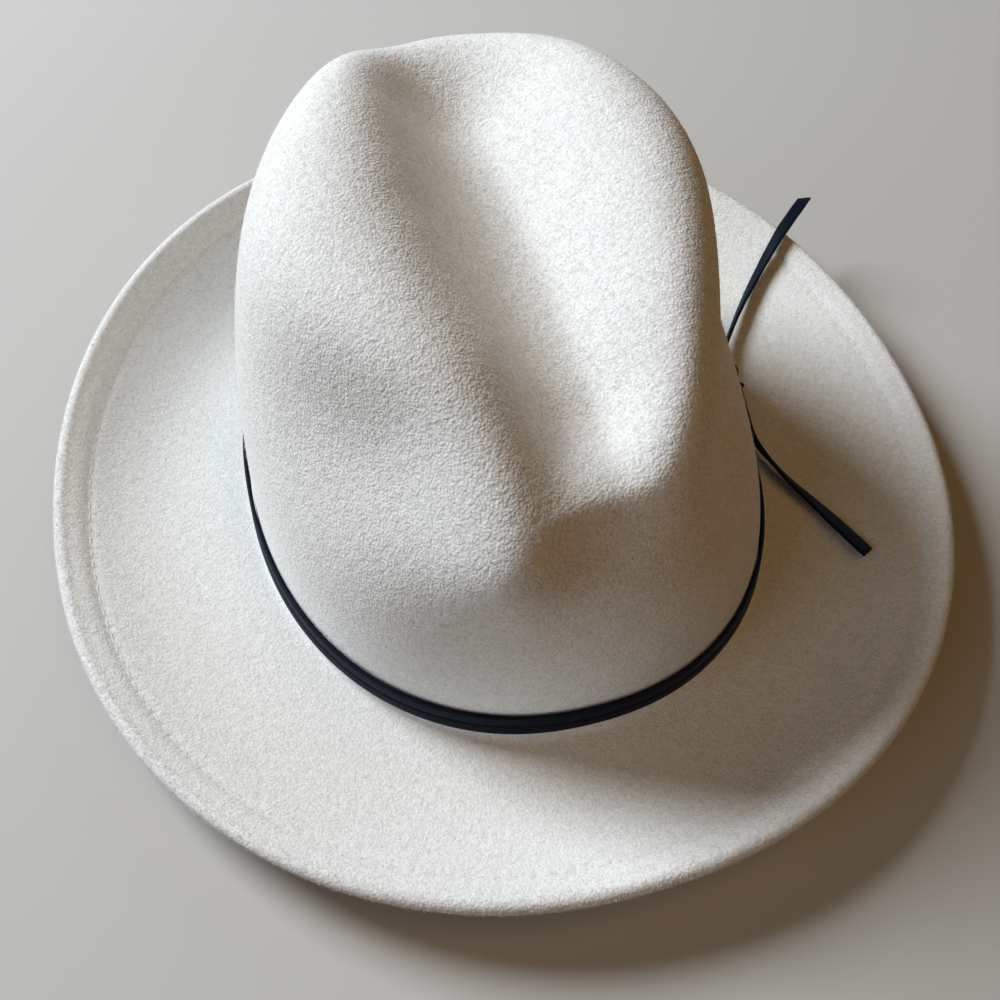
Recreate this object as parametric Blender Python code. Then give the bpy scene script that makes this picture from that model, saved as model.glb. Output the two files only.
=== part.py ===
"""A felt fedora: a blocked and creased crown, a brim with a stitched hem, a sweatband and a lace band.

The hat stands on the flat foot of its brim, with +Z up, -Y at the front and +X on the wearer's left.
All lengths are in metres. Each ring of the felt, the sweatband and the lace is sampled at the same
angles, so that neighbouring pieces keep their clearance facet by facet.
"""

import math

import bmesh
import bpy
import numpy as np
from mathutils import Vector

# The head opening at the foot of the crown: a squared-off oval.
HEAD_HALF_WIDTH = 0.0850
HEAD_HALF_LENGTH = 0.1035
HEAD_SQUARENESS = 2.2

# The felt, the turn from crown to brim, and the flat foot that the hat stands on.
FELT = 0.0022
BREAK_RADIUS = 0.0030
FOOT_WIDTH = 0.0035
GAP = 0.0003

# The crown before it is creased.
CROWN_RISE = 0.1220
BACK_EXTRA_RISE = 0.0123
LEFT_EXTRA_RISE = 0.0020
SIDE_TAPER = 0.084
FRONT_TAPER = 0.038
TOP_SQUARENESS = 1.85
FRONT_SQUARENESS = 0.20
CROWN_LEAN = -0.0018
SIDE_LINE_ACROSS = 6.0
SIDE_LINE_UP = 3.12

# The centre crease along the top of the crown: its right and left walls differ, and each width
# changes along the crown by its spread.
CREASE_DEPTH = 0.0290
CREASE_X = 0.0040
CREASE_SLANT = -0.073
CREASE_RIGHT_WIDTH = 0.0279
CREASE_RIGHT_SPREAD = -0.070
CREASE_RIGHT_FLATNESS = 2.43
CREASE_LEFT_WIDTH = 0.0238
CREASE_LEFT_SPREAD = 0.035
CREASE_LEFT_FLATNESS = 1.97
CREASE_DRIFT = -0.0059
CREASE_DRIFT_Y = -0.0492
CREASE_DRIFT_RUN = 0.0450
CREASE_FRONT_Y = -0.1074
CREASE_FRONT_RUN = 0.0521
CREASE_BACK_Y = 0.0467
CREASE_BACK_RUN = 0.0624
CREASE_START_HEIGHT = 0.55
CREASE_START_RUN = 0.35

# The scoop where the crease runs down the front of the crown.
SCOOP_DEPTH = 0.0305
SCOOP_X = 0.0044
SCOOP_WIDTH = 0.0253
SCOOP_Y = -0.0827
SCOOP_RUN = 0.0272

# The finger pinches and hand dents in the crown's sides.
RIGHT_PINCH_DEPTH = 0.0140
RIGHT_PINCH_Y = -0.0583
RIGHT_PINCH_LENGTH = 0.0352
RIGHT_PINCH_Z = 0.0911
RIGHT_PINCH_HEIGHT = 0.0264
LEFT_PINCH_DEPTH = 0.0094
LEFT_PINCH_Y = -0.0526
LEFT_PINCH_LENGTH = 0.0248
LEFT_PINCH_Z = 0.0627
LEFT_PINCH_HEIGHT = 0.0215
PINCH_RUN = 0.040
LEFT_DENT_DEPTH = 0.0159
LEFT_DENT_Y = -0.0316
LEFT_DENT_LENGTH = 0.0605
LEFT_DENT_Z = 0.0838
LEFT_DENT_HEIGHT = 0.0390
LEFT_DENT_RUN = 0.050

# The soft bulge at the right front corner of the crown.
BULGE_DEPTH = 0.0128
BULGE_X = -0.0275
BULGE_WIDTH = 0.0166
BULGE_Z = 0.0885
BULGE_HEIGHT = 0.0227
BULGE_Y = -0.0506
BULGE_RUN = 0.035

# The brim, measured outward from the head opening to where its hem turns under.
BRIM_WIDTH = 0.0558
BRIM_SIDE_EXTRA = 0.0040
BRIM_LEFT_EXTRA = 0.0007
BRIM_DIAGONAL_EXTRA = 0.0016
EDGE_LIFT = 0.0191
EDGE_LIFT_BACK = 0.0031
EDGE_LIFT_LEFT = 0.0010
EDGE_LIFT_SIDE = -0.0034
EDGE_LIFT_DIAGONAL = -0.0013
LIFT_EASE = 0.41
LIFT_EASE_LEFT = 0.62
LIFT_POWER = 2.2

# The hem: the felt turned under around a wire and stitched down.
HEM_SLIT = 0.0004
HEM_LENGTH = 0.0110
WIRE_RADIUS = 0.0006
STITCH_INSET = 0.0070
STITCH_DEPTH = 0.0011
STITCH_FLOOR_WIDTH = 0.0011
STITCH_MOUTH_WIDTH = 0.0019
THREAD_RADIUS = 0.00035

# The sweatband inside the crown.
BAND_HEIGHT = 0.0320
BAND_THICKNESS = 0.0011
BAND_CLEARANCE = 0.0005
BAND_FOOT_Z = 0.0034
REED_RADIUS = 0.0011
BAND_SEAM_RISE = 0.0016
BOW_SPAN = 0.0260
BOW_HEIGHT = 0.0080
BOW_THICKNESS = 0.0014
BOW_KNOT_SHARE = 0.42
BOW_THINNEST = 0.6
BOW_Z = 0.0200
TAG_WIDTH = 0.0160
TAG_HEIGHT = 0.0090
TAG_THICKNESS = 0.0004
TAG_Z = 0.0200
TAG_ANGLE = math.radians(62)

# The lace band: two turns of flat lace, a knot and two tails.
LACE_WIDTH = 0.0046
LACE_THICKNESS = 0.0014
LACE_ROUND = 0.00035
LACE_FOOT_CLEARANCE = 0.0006
KNOT_ANGLE = math.radians(8.0)
KNOT_HALF_LENGTH = 0.0068
KNOT_DEPTH = 0.0084
KNOT_HEIGHT = 0.0108
KNOT_FOOT_CLEARANCE = 0.0012
KNOT_END_TAPER = 0.45
KNOT_END_POWER = 6
KNOT_WAIST = 0.86
TAIL_THICKNESS = 0.0015

# The tails' routes from the knot: the angle around the head opening in degrees, the distance out from
# it, the height over the brim's top, and the lace's turn from 0 on edge to 90 flat on the brim.
FRONT_TAIL_ROUTE = [
    (3.3, 0.0075, 0.0058, 0),
    (-3.3, 0.0058, 0.0053, 0),
    (-9.8, 0.0053, 0.0046, 10),
    (-19.1, 0.0105, 0.0038, 38),
    (-28.2, 0.0211, 0.0023, 70),
    (-33.6, 0.0277, 0.0025, 84),
    (-38.2, 0.0341, 0.0026, 90),
]
REAR_TAIL_ROUTE = [
    (12.9, 0.0075, 0.0066, 0),
    (16.6, 0.0119, 0.0058, 4),
    (19.9, 0.0175, 0.0048, 10),
    (24.6, 0.0283, 0.0042, 22),
    (28.0, 0.0397, 0.0035, 38),
    (29.9, 0.0486, 0.0040, 55),
    (31.4, 0.0571, 0.0036, 70),
    (32.8, 0.0662, 0.0039, 80),
    (34.3, 0.0778, 0.0050, 88),
]
TAIL_POINTS = 16

# How finely the surfaces are sampled, and where their edges stay sharp.
AROUND = 48
WALL_ROWS = 9
TOP_ROWS = 12
SHOULDER_HEIGHT = 0.80
BREAK_ROWS = 3
LIFT_ROWS = 4
FOLD_ROWS = 5
SMALL_STEP = 1e-4
WIRE_SIDES = 8
THREAD_SIDES = 6
REED_SIDES = 8
BOW_COLUMNS = 12
TAG_COLUMNS = 5
KNOT_SECTIONS = 12
KNOT_SIDES = 12
SHARP_ANGLE = math.radians(50)

# Colours and finish: linear red, green, blue, then roughness.
IVORY_FELT = (0.56, 0.55, 0.52, 0.95)
CREAM_THREAD = (0.62, 0.58, 0.50, 0.80)
BLACK_LACE = (0.012, 0.013, 0.016, 0.45)
BROWN_LEATHER = (0.18, 0.095, 0.05, 0.55)
DARK_REED = (0.03, 0.03, 0.03, 0.40)
BLACK_RIBBON = (0.02, 0.02, 0.022, 0.60)
WHITE_TAG = (0.75, 0.75, 0.73, 0.60)
STEEL = (0.55, 0.55, 0.56, 0.35)

# Sizes that follow from the ones above.
BREAK_TOP = FELT + BREAK_RADIUS
HEM_RADIUS = FELT + HEM_SLIT / 2
FOOT_END = BREAK_RADIUS + FOOT_WIDTH
CROWN_ORIGIN = (-BRIM_LEFT_EXTRA, 0.0, 0.0)
CROWN_ROWS = WALL_ROWS + TOP_ROWS
ANGLES = np.linspace(0.0, 2 * math.pi, AROUND, endpoint=False)


def smooth_step(value):
    """0 below 0, 1 above 1, and an S-shaped rise between them."""
    clipped = np.clip(value, 0.0, 1.0)
    return clipped * clipped * (3.0 - 2.0 * clipped)


def bell(value, centre, width):
    return np.exp(-(((value - centre) / width) ** 2))


def oval(angles, squareness):
    """The head opening's outline, as a superellipse of the given squareness."""
    cosine = np.cos(angles)
    sine = np.sin(angles)
    across = np.abs(cosine / HEAD_HALF_WIDTH) ** squareness
    along = np.abs(sine / HEAD_HALF_LENGTH) ** squareness
    radius = (across + along) ** (-1.0 / squareness)
    return radius * cosine, radius * sine


def outward(angles):
    """The level unit normals of the head opening's outline."""
    x, y = oval(angles, HEAD_SQUARENESS)
    power = HEAD_SQUARENESS - 1.0
    slope_x = np.sign(x) * np.abs(x) ** power / HEAD_HALF_WIDTH**HEAD_SQUARENESS
    slope_y = np.sign(y) * np.abs(y) ** power / HEAD_HALF_LENGTH**HEAD_SQUARENESS
    length = np.hypot(slope_x, slope_y)
    return slope_x / length, slope_y / length


def uncreased(angles, reach, height):
    """The blocked crown: reach is 1 at the wall and 0 at the tip's centre, height is 0 to 1."""
    front = smooth_step(-np.sin(angles))
    squareness = HEAD_SQUARENESS + (TOP_SQUARENESS - HEAD_SQUARENESS + FRONT_SQUARENESS * front) * height
    oval_x, oval_y = oval(angles, squareness)
    forward = 0.5 - 0.5 * np.sin(angles)
    x = reach * oval_x * (1.0 - SIDE_TAPER * height) + CROWN_LEAN * height
    y = reach * oval_y * (1.0 - FRONT_TAPER * forward * height)
    extra = BACK_EXTRA_RISE * y / HEAD_HALF_LENGTH + LEFT_EXTRA_RISE * x / HEAD_HALF_WIDTH
    z = BREAK_TOP + (CROWN_RISE + extra) * height
    return x, y, z


def crease_drop(x, y, height):
    """How far the centre crease and the scoop at its front press the crown's top down."""
    drift = CREASE_DRIFT * smooth_step((CREASE_DRIFT_Y - y) / CREASE_DRIFT_RUN)
    middle = CREASE_X + CREASE_SLANT * y + drift
    right_width = CREASE_RIGHT_WIDTH + CREASE_RIGHT_SPREAD * y
    left_width = CREASE_LEFT_WIDTH + CREASE_LEFT_SPREAD * y
    right_side = (np.abs(x - middle) / right_width) ** CREASE_RIGHT_FLATNESS
    left_side = (np.abs(x - middle) / left_width) ** CREASE_LEFT_FLATNESS
    across = np.exp(-np.where(x < middle, right_side, left_side))
    opening = smooth_step((y - CREASE_FRONT_Y) / CREASE_FRONT_RUN)
    closing = 1.0 - smooth_step((y - CREASE_BACK_Y) / CREASE_BACK_RUN)
    scoop = SCOOP_DEPTH * bell(x, SCOOP_X, SCOOP_WIDTH) * smooth_step((SCOOP_Y - y) / SCOOP_RUN)
    on_top = smooth_step((height - CREASE_START_HEIGHT) / CREASE_START_RUN)
    return on_top * (CREASE_DEPTH * across * opening * closing + scoop)


def crown(angles, reach, height):
    """The crown's outer face with its crease, pinches, dent and bulge, as an array of points."""
    x, y, z = uncreased(angles, reach, height)
    z = z - crease_drop(x, y, height)
    right = bell(y, RIGHT_PINCH_Y, RIGHT_PINCH_LENGTH) * bell(z, RIGHT_PINCH_Z, RIGHT_PINCH_HEIGHT)
    left = bell(y, LEFT_PINCH_Y, LEFT_PINCH_LENGTH) * bell(z, LEFT_PINCH_Z, LEFT_PINCH_HEIGHT)
    x = x + RIGHT_PINCH_DEPTH * right * smooth_step(-x / PINCH_RUN)
    x = x - LEFT_PINCH_DEPTH * left * smooth_step(x / PINCH_RUN)
    dent = bell(y, LEFT_DENT_Y, LEFT_DENT_LENGTH) * bell(z, LEFT_DENT_Z, LEFT_DENT_HEIGHT)
    x = x - LEFT_DENT_DEPTH * dent * smooth_step(x / LEFT_DENT_RUN)
    bulge = bell(x, BULGE_X, BULGE_WIDTH) * bell(z, BULGE_Z, BULGE_HEIGHT)
    y = y - BULGE_DEPTH * bulge * smooth_step((BULGE_Y - y) / BULGE_RUN)
    return np.stack([x, y, z], axis=-1)


def side_step(step):
    """Reach and height at a step from 0 at the foot of the wall to 1 at the tip's centre."""
    wall_share = WALL_ROWS / CROWN_ROWS
    if step < wall_share:
        height = SHOULDER_HEIGHT * max(step, 0.0) / wall_share
        return (1.0 - height**SIDE_LINE_UP) ** (1.0 / SIDE_LINE_ACROSS), height
    shoulder_reach = (1.0 - SHOULDER_HEIGHT**SIDE_LINE_UP) ** (1.0 / SIDE_LINE_ACROSS)
    reach = shoulder_reach * (1.0 - step) / (1.0 - wall_share)
    return reach, (1.0 - reach**SIDE_LINE_ACROSS) ** (1.0 / SIDE_LINE_UP)


def crown_row(row, offset):
    """One ring of the crown, moved an offset out of its outer face along its normals."""
    step = row / CROWN_ROWS
    around = crown(ANGLES + SMALL_STEP, *side_step(step)) - crown(ANGLES - SMALL_STEP, *side_step(step))
    upward = crown(ANGLES, *side_step(step + SMALL_STEP)) - crown(ANGLES, *side_step(step - SMALL_STEP))
    normal = np.cross(around, upward)
    return crown(ANGLES, *side_step(step)) + offset * normal / np.linalg.norm(normal, axis=1, keepdims=True)


def wall_row(z, offset):
    """A level ring at height z, an offset out of the wall's facets; below its foot it hangs straight."""
    wall = np.array([crown_row(row, offset) for row in range(WALL_ROWS + 1)])
    ring = []
    for line in wall.transpose(1, 2, 0):
        ring.append((np.interp(z, line[2], line[0]), np.interp(z, line[2], line[1]), z))
    return np.array(ring)


def offset_row(offset, z):
    """A ring at an offset outward from the head opening's outline; both may vary with the angle."""
    x, y = oval(ANGLES, HEAD_SQUARENESS)
    normal_x, normal_y = outward(ANGLES)
    level = z + np.zeros(AROUND)
    return np.stack([x + offset * normal_x, y + offset * normal_y, level], axis=-1)


def brim_edge(angles):
    """The brim's width at each angle, out to where the hem turns under."""
    sides = BRIM_SIDE_EXTRA * np.cos(2 * angles) + BRIM_DIAGONAL_EXTRA * np.sin(2 * angles)
    return BRIM_WIDTH + sides + BRIM_LEFT_EXTRA * np.cos(angles)


def brim_lift(angles):
    """How high the brim's edge stands over its foot at each angle."""
    sides = EDGE_LIFT_SIDE * np.cos(2 * angles) + EDGE_LIFT_DIAGONAL * np.sin(2 * angles)
    return EDGE_LIFT + sides + EDGE_LIFT_BACK * np.sin(angles) + EDGE_LIFT_LEFT * np.cos(angles)


def brim_rise(angles, share):
    """How high the brim stands over its foot at a share of its run from there to the edge."""
    ease = LIFT_EASE + LIFT_EASE_LEFT * np.cos(angles)
    return brim_lift(angles) * share**LIFT_POWER * (1.0 + ease * (1.0 - share))


def brim_row(inset, depth, sideways=0.0):
    """A ring of the brim, an inset from the hem's turn, a depth below the top and a step outward along it."""
    edge = brim_edge(ANGLES)
    run = edge - FOOT_END
    share = np.clip((run - inset) / run, 0.0, 1.0)
    before = np.maximum(share - SMALL_STEP, 0.0)
    climb = brim_rise(ANGLES, share + SMALL_STEP) - brim_rise(ANGLES, before)
    tilt = np.arctan(climb / (share + SMALL_STEP - before) / run)
    offset = edge - inset + depth * np.sin(tilt) + sideways * np.cos(tilt)
    z = FELT + brim_rise(ANGLES, share) - depth * np.cos(tilt) + sideways * np.sin(tilt)
    return offset_row(offset, z)


def brim_top_rows():
    """The brim's upper face from its flat foot to the edge, with the groove that the stitching lies in."""
    run = brim_edge(ANGLES) - FOOT_END
    mouth = STITCH_MOUTH_WIDTH / 2
    floor = STITCH_FLOOR_WIDTH / 2
    first = STITCH_INSET + mouth
    rows = [brim_row(run + (first - run) * step / LIFT_ROWS, 0.0) for step in range(LIFT_ROWS + 1)]
    rows.append(brim_row(STITCH_INSET + floor, STITCH_DEPTH))
    rows.append(brim_row(STITCH_INSET - floor, STITCH_DEPTH))
    rows.append(brim_row(STITCH_INSET - mouth, 0.0))
    return rows


def hem_rows():
    """The hem: round the edge, back under to its raw end, and out again around the wire's hollow."""
    rows = []
    for step in range(FOLD_ROWS + 1):
        angle = math.pi / 2 - math.pi * step / FOLD_ROWS
        rows.append(brim_row(0.0, HEM_RADIUS - HEM_RADIUS * math.sin(angle), HEM_RADIUS * math.cos(angle)))
    rows.append(brim_row(HEM_LENGTH, 2 * HEM_RADIUS))
    rows.append(brim_row(HEM_LENGTH, FELT + HEM_SLIT))
    hollow = WIRE_RADIUS + GAP
    mouth = math.asin(HEM_SLIT / 2 / hollow)
    sweep = 2 * math.pi - 2 * mouth
    for step in range(WIRE_SIDES - 1):
        angle = math.pi + mouth + sweep * step / (WIRE_SIDES - 2)
        rows.append(brim_row(0.0, HEM_RADIUS - hollow * math.sin(angle), hollow * math.cos(angle)))
    return rows


def brim_under_rows():
    """The brim's underside from above the hem's raw end back to its flat foot."""
    run = brim_edge(ANGLES) - FOOT_END
    rows = []
    for step in range(LIFT_ROWS + 1):
        rows.append(brim_row(HEM_LENGTH + (run - HEM_LENGTH) * step / LIFT_ROWS, FELT))
    return rows


def break_rows(radius):
    """The turn from the wall to the brim, from its top down; a larger radius gives the inner face."""
    rows = []
    for step in range(1, BREAK_ROWS + 2):
        angle = math.pi / 2 * step / (BREAK_ROWS + 1)
        rows.append(offset_row(BREAK_RADIUS - radius * math.cos(angle), BREAK_TOP - radius * math.sin(angle)))
    return rows


def material(name, finish, metallic=0.0):
    made = bpy.data.materials.new(name)
    made.use_nodes = True
    shader = made.node_tree.nodes["Principled BSDF"]
    shader.inputs["Base Color"].default_value = (*finish[:3], 1.0)
    shader.inputs["Roughness"].default_value = finish[3]
    shader.inputs["Metallic"].default_value = metallic
    return made


def place(name, data, finish, carrier, metallic=0.0):
    """Adds a named object with its own material, carried by an empty."""
    made = bpy.data.objects.new(name, data)
    bpy.context.scene.collection.objects.link(made)
    data.materials.append(material(name, finish, metallic))
    made.parent = carrier
    return made


def skin(grid, rows, join_ends=False):
    """Adds the rows of points to a bmesh and joins each row to the next; faces point left of the run."""
    loops = [[grid.verts.new(point) for point in row] for row in rows]
    ends = loops[1:] + loops[:1] if join_ends else loops[1:]
    for upper, lower in zip(loops, ends):
        for here in range(len(upper)):
            after = (here + 1) % len(upper)
            grid.faces.new((upper[here], lower[here], lower[after], upper[after]))
    return loops


def finished(grid, name):
    data = bpy.data.meshes.new(name)
    grid.to_mesh(data)
    grid.free()
    data.shade_smooth()
    data.set_sharp_from_angle(angle=SHARP_ANGLE)
    return data


def tip_fan(grid, ring, peak, facing_up):
    """Closes the innermost ring of the crown with triangles to one point."""
    middle = grid.verts.new(peak)
    for here in range(len(ring)):
        after = (here + 1) % len(ring)
        corners = (middle, ring[here], ring[after]) if facing_up else (middle, ring[after], ring[here])
        grid.faces.new(corners)


def tube_rows(centres, radius, sides):
    """A round section carried around a ring: one row of points for each of its sides."""
    normal_x, normal_y = outward(ANGLES)
    rows = []
    for side in range(sides):
        angle = -2 * math.pi * side / sides
        step = radius * math.cos(angle)
        lift = np.full(AROUND, radius * math.sin(angle))
        rows.append(centres + np.stack([step * normal_x, step * normal_y, lift], axis=-1))
    return rows


def ring_body(name, rows, finish, carrier, metallic=0.0):
    grid = bmesh.new()
    skin(grid, rows, join_ends=True)
    return place(name, finished(grid, name), finish, carrier, metallic)


def felt_body(carrier):
    """Crown and brim, blocked from one piece of felt: its outer face, the hem, then its inner face."""
    outer = [crown_row(row, 0.0) for row in reversed(range(CROWN_ROWS))]
    inner = [crown_row(row, -FELT) for row in range(1, CROWN_ROWS)]
    inner_foot = offset_row(-FELT, BREAK_TOP)
    rows = outer + break_rows(BREAK_RADIUS) + brim_top_rows() + hem_rows() + brim_under_rows()
    rows += break_rows(BREAK_RADIUS + FELT)[::-1] + [inner_foot] + inner
    grid = bmesh.new()
    loops = skin(grid, rows)
    peak = crown(np.zeros(1), 0.0, 1.0)[0]
    tip_fan(grid, loops[0], peak, facing_up=True)
    tip_fan(grid, loops[-1], peak - (0.0, 0.0, FELT), facing_up=False)
    return place("felt_body", finished(grid, "felt_body"), IVORY_FELT, carrier)


def brim_wire(carrier):
    rows = tube_rows(brim_row(0.0, HEM_RADIUS), WIRE_RADIUS, WIRE_SIDES)
    return ring_body("brim_wire", rows, STEEL, carrier, metallic=1.0)


def brim_stitching(carrier):
    depth = STITCH_DEPTH - GAP - THREAD_RADIUS
    rows = tube_rows(brim_row(STITCH_INSET, depth), THREAD_RADIUS, THREAD_SIDES)
    return ring_body("brim_stitching", rows, CREAM_THREAD, carrier)


def band_rows(depth):
    """The sweatband's rings from its foot to its top, a depth in from its outer face."""
    offset = -FELT - BAND_CLEARANCE - depth
    top = BAND_FOOT_Z + BAND_HEIGHT
    rows = [crown_row(row, offset) for row in range(WALL_ROWS)]
    kept = [row for row in rows if row[:, 2].max() < top - BAND_THICKNESS]
    return [wall_row(BAND_FOOT_Z, offset)] + kept + [wall_row(top, offset)]


def sweatband(carrier):
    """A leather strip that follows the inside of the wall."""
    rows = band_rows(0.0)[::-1] + band_rows(BAND_THICKNESS)
    return ring_body("sweatband", rows, BROWN_LEATHER, carrier)


def sweatband_reed(carrier):
    """The round reed in the sweatband's lower edge, seated in the turn from wall to brim."""
    z = BAND_FOOT_Z - GAP - REED_RADIUS
    reach = BREAK_RADIUS + FELT + GAP + REED_RADIUS
    offset = BREAK_RADIUS - math.sqrt(reach**2 - (BREAK_TOP - z) ** 2)
    rows = tube_rows(offset_row(offset, z), REED_RADIUS, REED_SIDES)
    return ring_body("sweatband_reed", rows, DARK_REED, carrier)


def sweatband_stitching(carrier):
    inset = FELT + BAND_CLEARANCE + BAND_THICKNESS + GAP + THREAD_RADIUS
    centres = wall_row(BAND_FOOT_Z + BAND_SEAM_RISE, -inset)
    rows = tube_rows(centres, THREAD_RADIUS, THREAD_SIDES)
    return ring_body("sweatband_stitching", rows, CREAM_THREAD, carrier)


def band_point(angle, z, depth):
    """A point a depth in from the sweatband's inner face."""
    ring = wall_row(z, -FELT - BAND_CLEARANCE - BAND_THICKNESS - GAP - depth)
    turns = np.append(ANGLES, 2 * math.pi)
    closed = np.vstack([ring, ring[:1]])
    return [np.interp(angle, turns, closed[:, axis]) for axis in range(3)]


def lofted(name, loops, finish, carrier):
    """Adds a closed body: each loop of points joined to the next, with a flat face at either end."""
    grid = bmesh.new()
    loops = [[grid.verts.new(point) for point in loop] for loop in loops]
    sides = len(loops[0])
    for left, right in zip(loops, loops[1:]):
        for here in range(sides):
            after = (here + 1) % sides
            grid.faces.new((left[here], right[here], right[after], left[after]))
    grid.faces.new(loops[0])
    grid.faces.new(loops[-1][::-1])
    bmesh.ops.recalc_face_normals(grid, faces=grid.faces)
    return place(name, finished(grid, name), finish, carrier)


def strip_on_band(columns):
    """The loops of a strip on the sweatband: each column is (angle, z centre, half height, thickness)."""
    loops = []
    for angle, z, half, thickness in columns:
        corners = ((z - half, 0.0), (z - half, thickness), (z + half, thickness), (z + half, 0.0))
        loops.append([band_point(angle, height, depth) for height, depth in corners])
    return loops


def sweatband_bow(carrier):
    """The small flat bow that marks the back of the sweatband, wide at its loops and narrow at its knot."""
    columns = []
    radius = HEAD_HALF_LENGTH - FELT - BAND_THICKNESS
    for step in range(BOW_COLUMNS + 1):
        across = 2.0 * step / BOW_COLUMNS - 1.0
        loop = BOW_KNOT_SHARE + (1.0 - BOW_KNOT_SHARE) * abs(math.sin(math.pi * across))
        angle = math.pi / 2 + across * BOW_SPAN / 2 / radius
        thickness = BOW_THICKNESS * (BOW_THINNEST + (1.0 - BOW_THINNEST) * loop)
        columns.append((angle, BOW_Z, BOW_HEIGHT / 2 * loop, thickness))
    return lofted("sweatband_bow", strip_on_band(columns), BLACK_RIBBON, carrier)


def size_tag(carrier):
    """A bare tag on the sweatband beside the bow."""
    half_angle = TAG_WIDTH / 2 / HEAD_HALF_LENGTH
    turns = np.linspace(TAG_ANGLE - half_angle, TAG_ANGLE + half_angle, TAG_COLUMNS)
    columns = [(angle, TAG_Z, TAG_HEIGHT / 2, TAG_THICKNESS) for angle in turns]
    return lofted("size_tag", strip_on_band(columns), WHITE_TAG, carrier)


def lace_turn(name, foot_z, carrier):
    """One turn of flat lace around the crown, a clearance off its wall."""
    inner = wall_row(foot_z, GAP)
    normal_x, normal_y = outward(ANGLES)
    side = LACE_THICKNESS - LACE_ROUND
    top = LACE_WIDTH - LACE_ROUND
    section = [(LACE_ROUND, LACE_WIDTH), (side, LACE_WIDTH), (LACE_THICKNESS, top)]
    section += [(LACE_THICKNESS, LACE_ROUND), (side, 0.0), (LACE_ROUND, 0.0), (0.0, LACE_ROUND), (0.0, top)]
    rows = []
    for out, up in section:
        rows.append(inner + np.stack([out * normal_x, out * normal_y, np.full(AROUND, up)], axis=-1))
    return ring_body(name, rows, BLACK_LACE, carrier)


def knot_sagitta():
    """How far a facet of the band stands outside a straight line as long as the knot."""
    return KNOT_HALF_LENGTH**2 / HEAD_HALF_LENGTH / 2


def knot_frame():
    """The knot's middle, and the level directions out from the crown and along the band."""
    angle = np.array([KNOT_ANGLE])
    x, y = (value[0] for value in oval(angle, HEAD_SQUARENESS))
    away = Vector((*(value[0] for value in outward(angle)), 0.0))
    along = Vector((-away.y, away.x, 0.0))
    inner = 2 * GAP + LACE_THICKNESS + knot_sagitta()
    z = FELT + KNOT_FOOT_CLEARANCE + KNOT_HEIGHT / 2
    return Vector((x, y, z)) + away * (inner + KNOT_DEPTH / 2), away, along


def knot_girth(share):
    """The knot's girth, from -1 to 1 along it: two wraps with a waist between, and rounded ends."""
    ends = 1.0 - KNOT_END_TAPER * abs(share) ** KNOT_END_POWER
    return ends * (KNOT_WAIST + (1.0 - KNOT_WAIST) * abs(math.sin(math.pi * share)))


def lace_knot(carrier):
    """The overhand knot beside the band: two rounded wraps side by side."""
    centre, away, along = knot_frame()
    loops = []
    for row in range(KNOT_SECTIONS + 1):
        share = 2.0 * row / KNOT_SECTIONS - 1.0
        girth = knot_girth(share)
        middle = centre + along * (share * KNOT_HALF_LENGTH)
        loop = []
        for side in range(KNOT_SIDES):
            turn = 2 * math.pi * side / KNOT_SIDES
            out = away * (girth * KNOT_DEPTH / 2 * math.cos(turn))
            up = Vector((0.0, 0.0, girth * KNOT_HEIGHT / 2 * math.sin(turn)))
            loop.append(middle + out + up)
        loops.append(loop)
    return lofted("lace_knot", loops, BLACK_LACE, carrier)


def over_brim(degrees, out, over):
    """A point a distance out from the head opening and a height over the brim's top."""
    angle = np.array([math.radians(degrees)])
    x, y = (value[0] for value in oval(angle, HEAD_SQUARENESS))
    normal_x, normal_y = (value[0] for value in outward(angle))
    share = np.clip((out - FOOT_END) / (brim_edge(angle)[0] - FOOT_END), 0.0, 1.0)
    return x + out * normal_x, y + out * normal_y, FELT + brim_rise(angle, share)[0] + over


def smooth_route(points, count):
    """Reads evenly spaced points from a smooth curve through a route's own points."""
    route = np.array(points, dtype=float)
    lengths = np.linalg.norm(np.diff(route[:, :3], axis=0), axis=1)
    knots = np.append(0.0, np.cumsum(lengths))
    slopes = np.gradient(route, knots, axis=0)
    found = []
    for distance in np.linspace(0.0, knots[-1], count):
        span = min(np.searchsorted(knots, distance, side="right") - 1, len(knots) - 2)
        length = knots[span + 1] - knots[span]
        part = (distance - knots[span]) / length
        rise = part**2 * (3 - 2 * part)
        start = (1 - rise) * route[span] + part * (1 - part) ** 2 * length * slopes[span]
        end = rise * route[span + 1] + part**2 * (part - 1) * length * slopes[span + 1]
        found.append(start + end)
    return found


def lace_tail(name, route, carrier):
    """A free end of the lace: a flat strip that starts on edge and turns to lie on the brim."""
    curve = bpy.data.curves.new(name, "CURVE")
    curve.dimensions = "3D"
    curve.twist_mode = "Z_UP"
    curve.fill_mode = "FULL"
    curve.extrude = LACE_WIDTH / 2 - TAIL_THICKNESS / 2
    curve.bevel_depth = TAIL_THICKNESS / 2
    curve.bevel_resolution = 2
    curve.use_fill_caps = True
    spline = curve.splines.new("POLY")
    stations = [(*over_brim(degrees, out, over), turn) for degrees, out, over, turn in route]
    points = smooth_route(stations, TAIL_POINTS)
    spline.points.add(len(points) - 1)
    for target, (x, y, z, turn) in zip(spline.points, points):
        target.co = (x, y, z, 1.0)
        target.tilt = math.radians(turn)
    return place(name, curve, BLACK_LACE, carrier)


def empty(name, position):
    made = bpy.data.objects.new(name, None)
    made.location = position
    bpy.context.scene.collection.objects.link(made)
    return made


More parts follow.
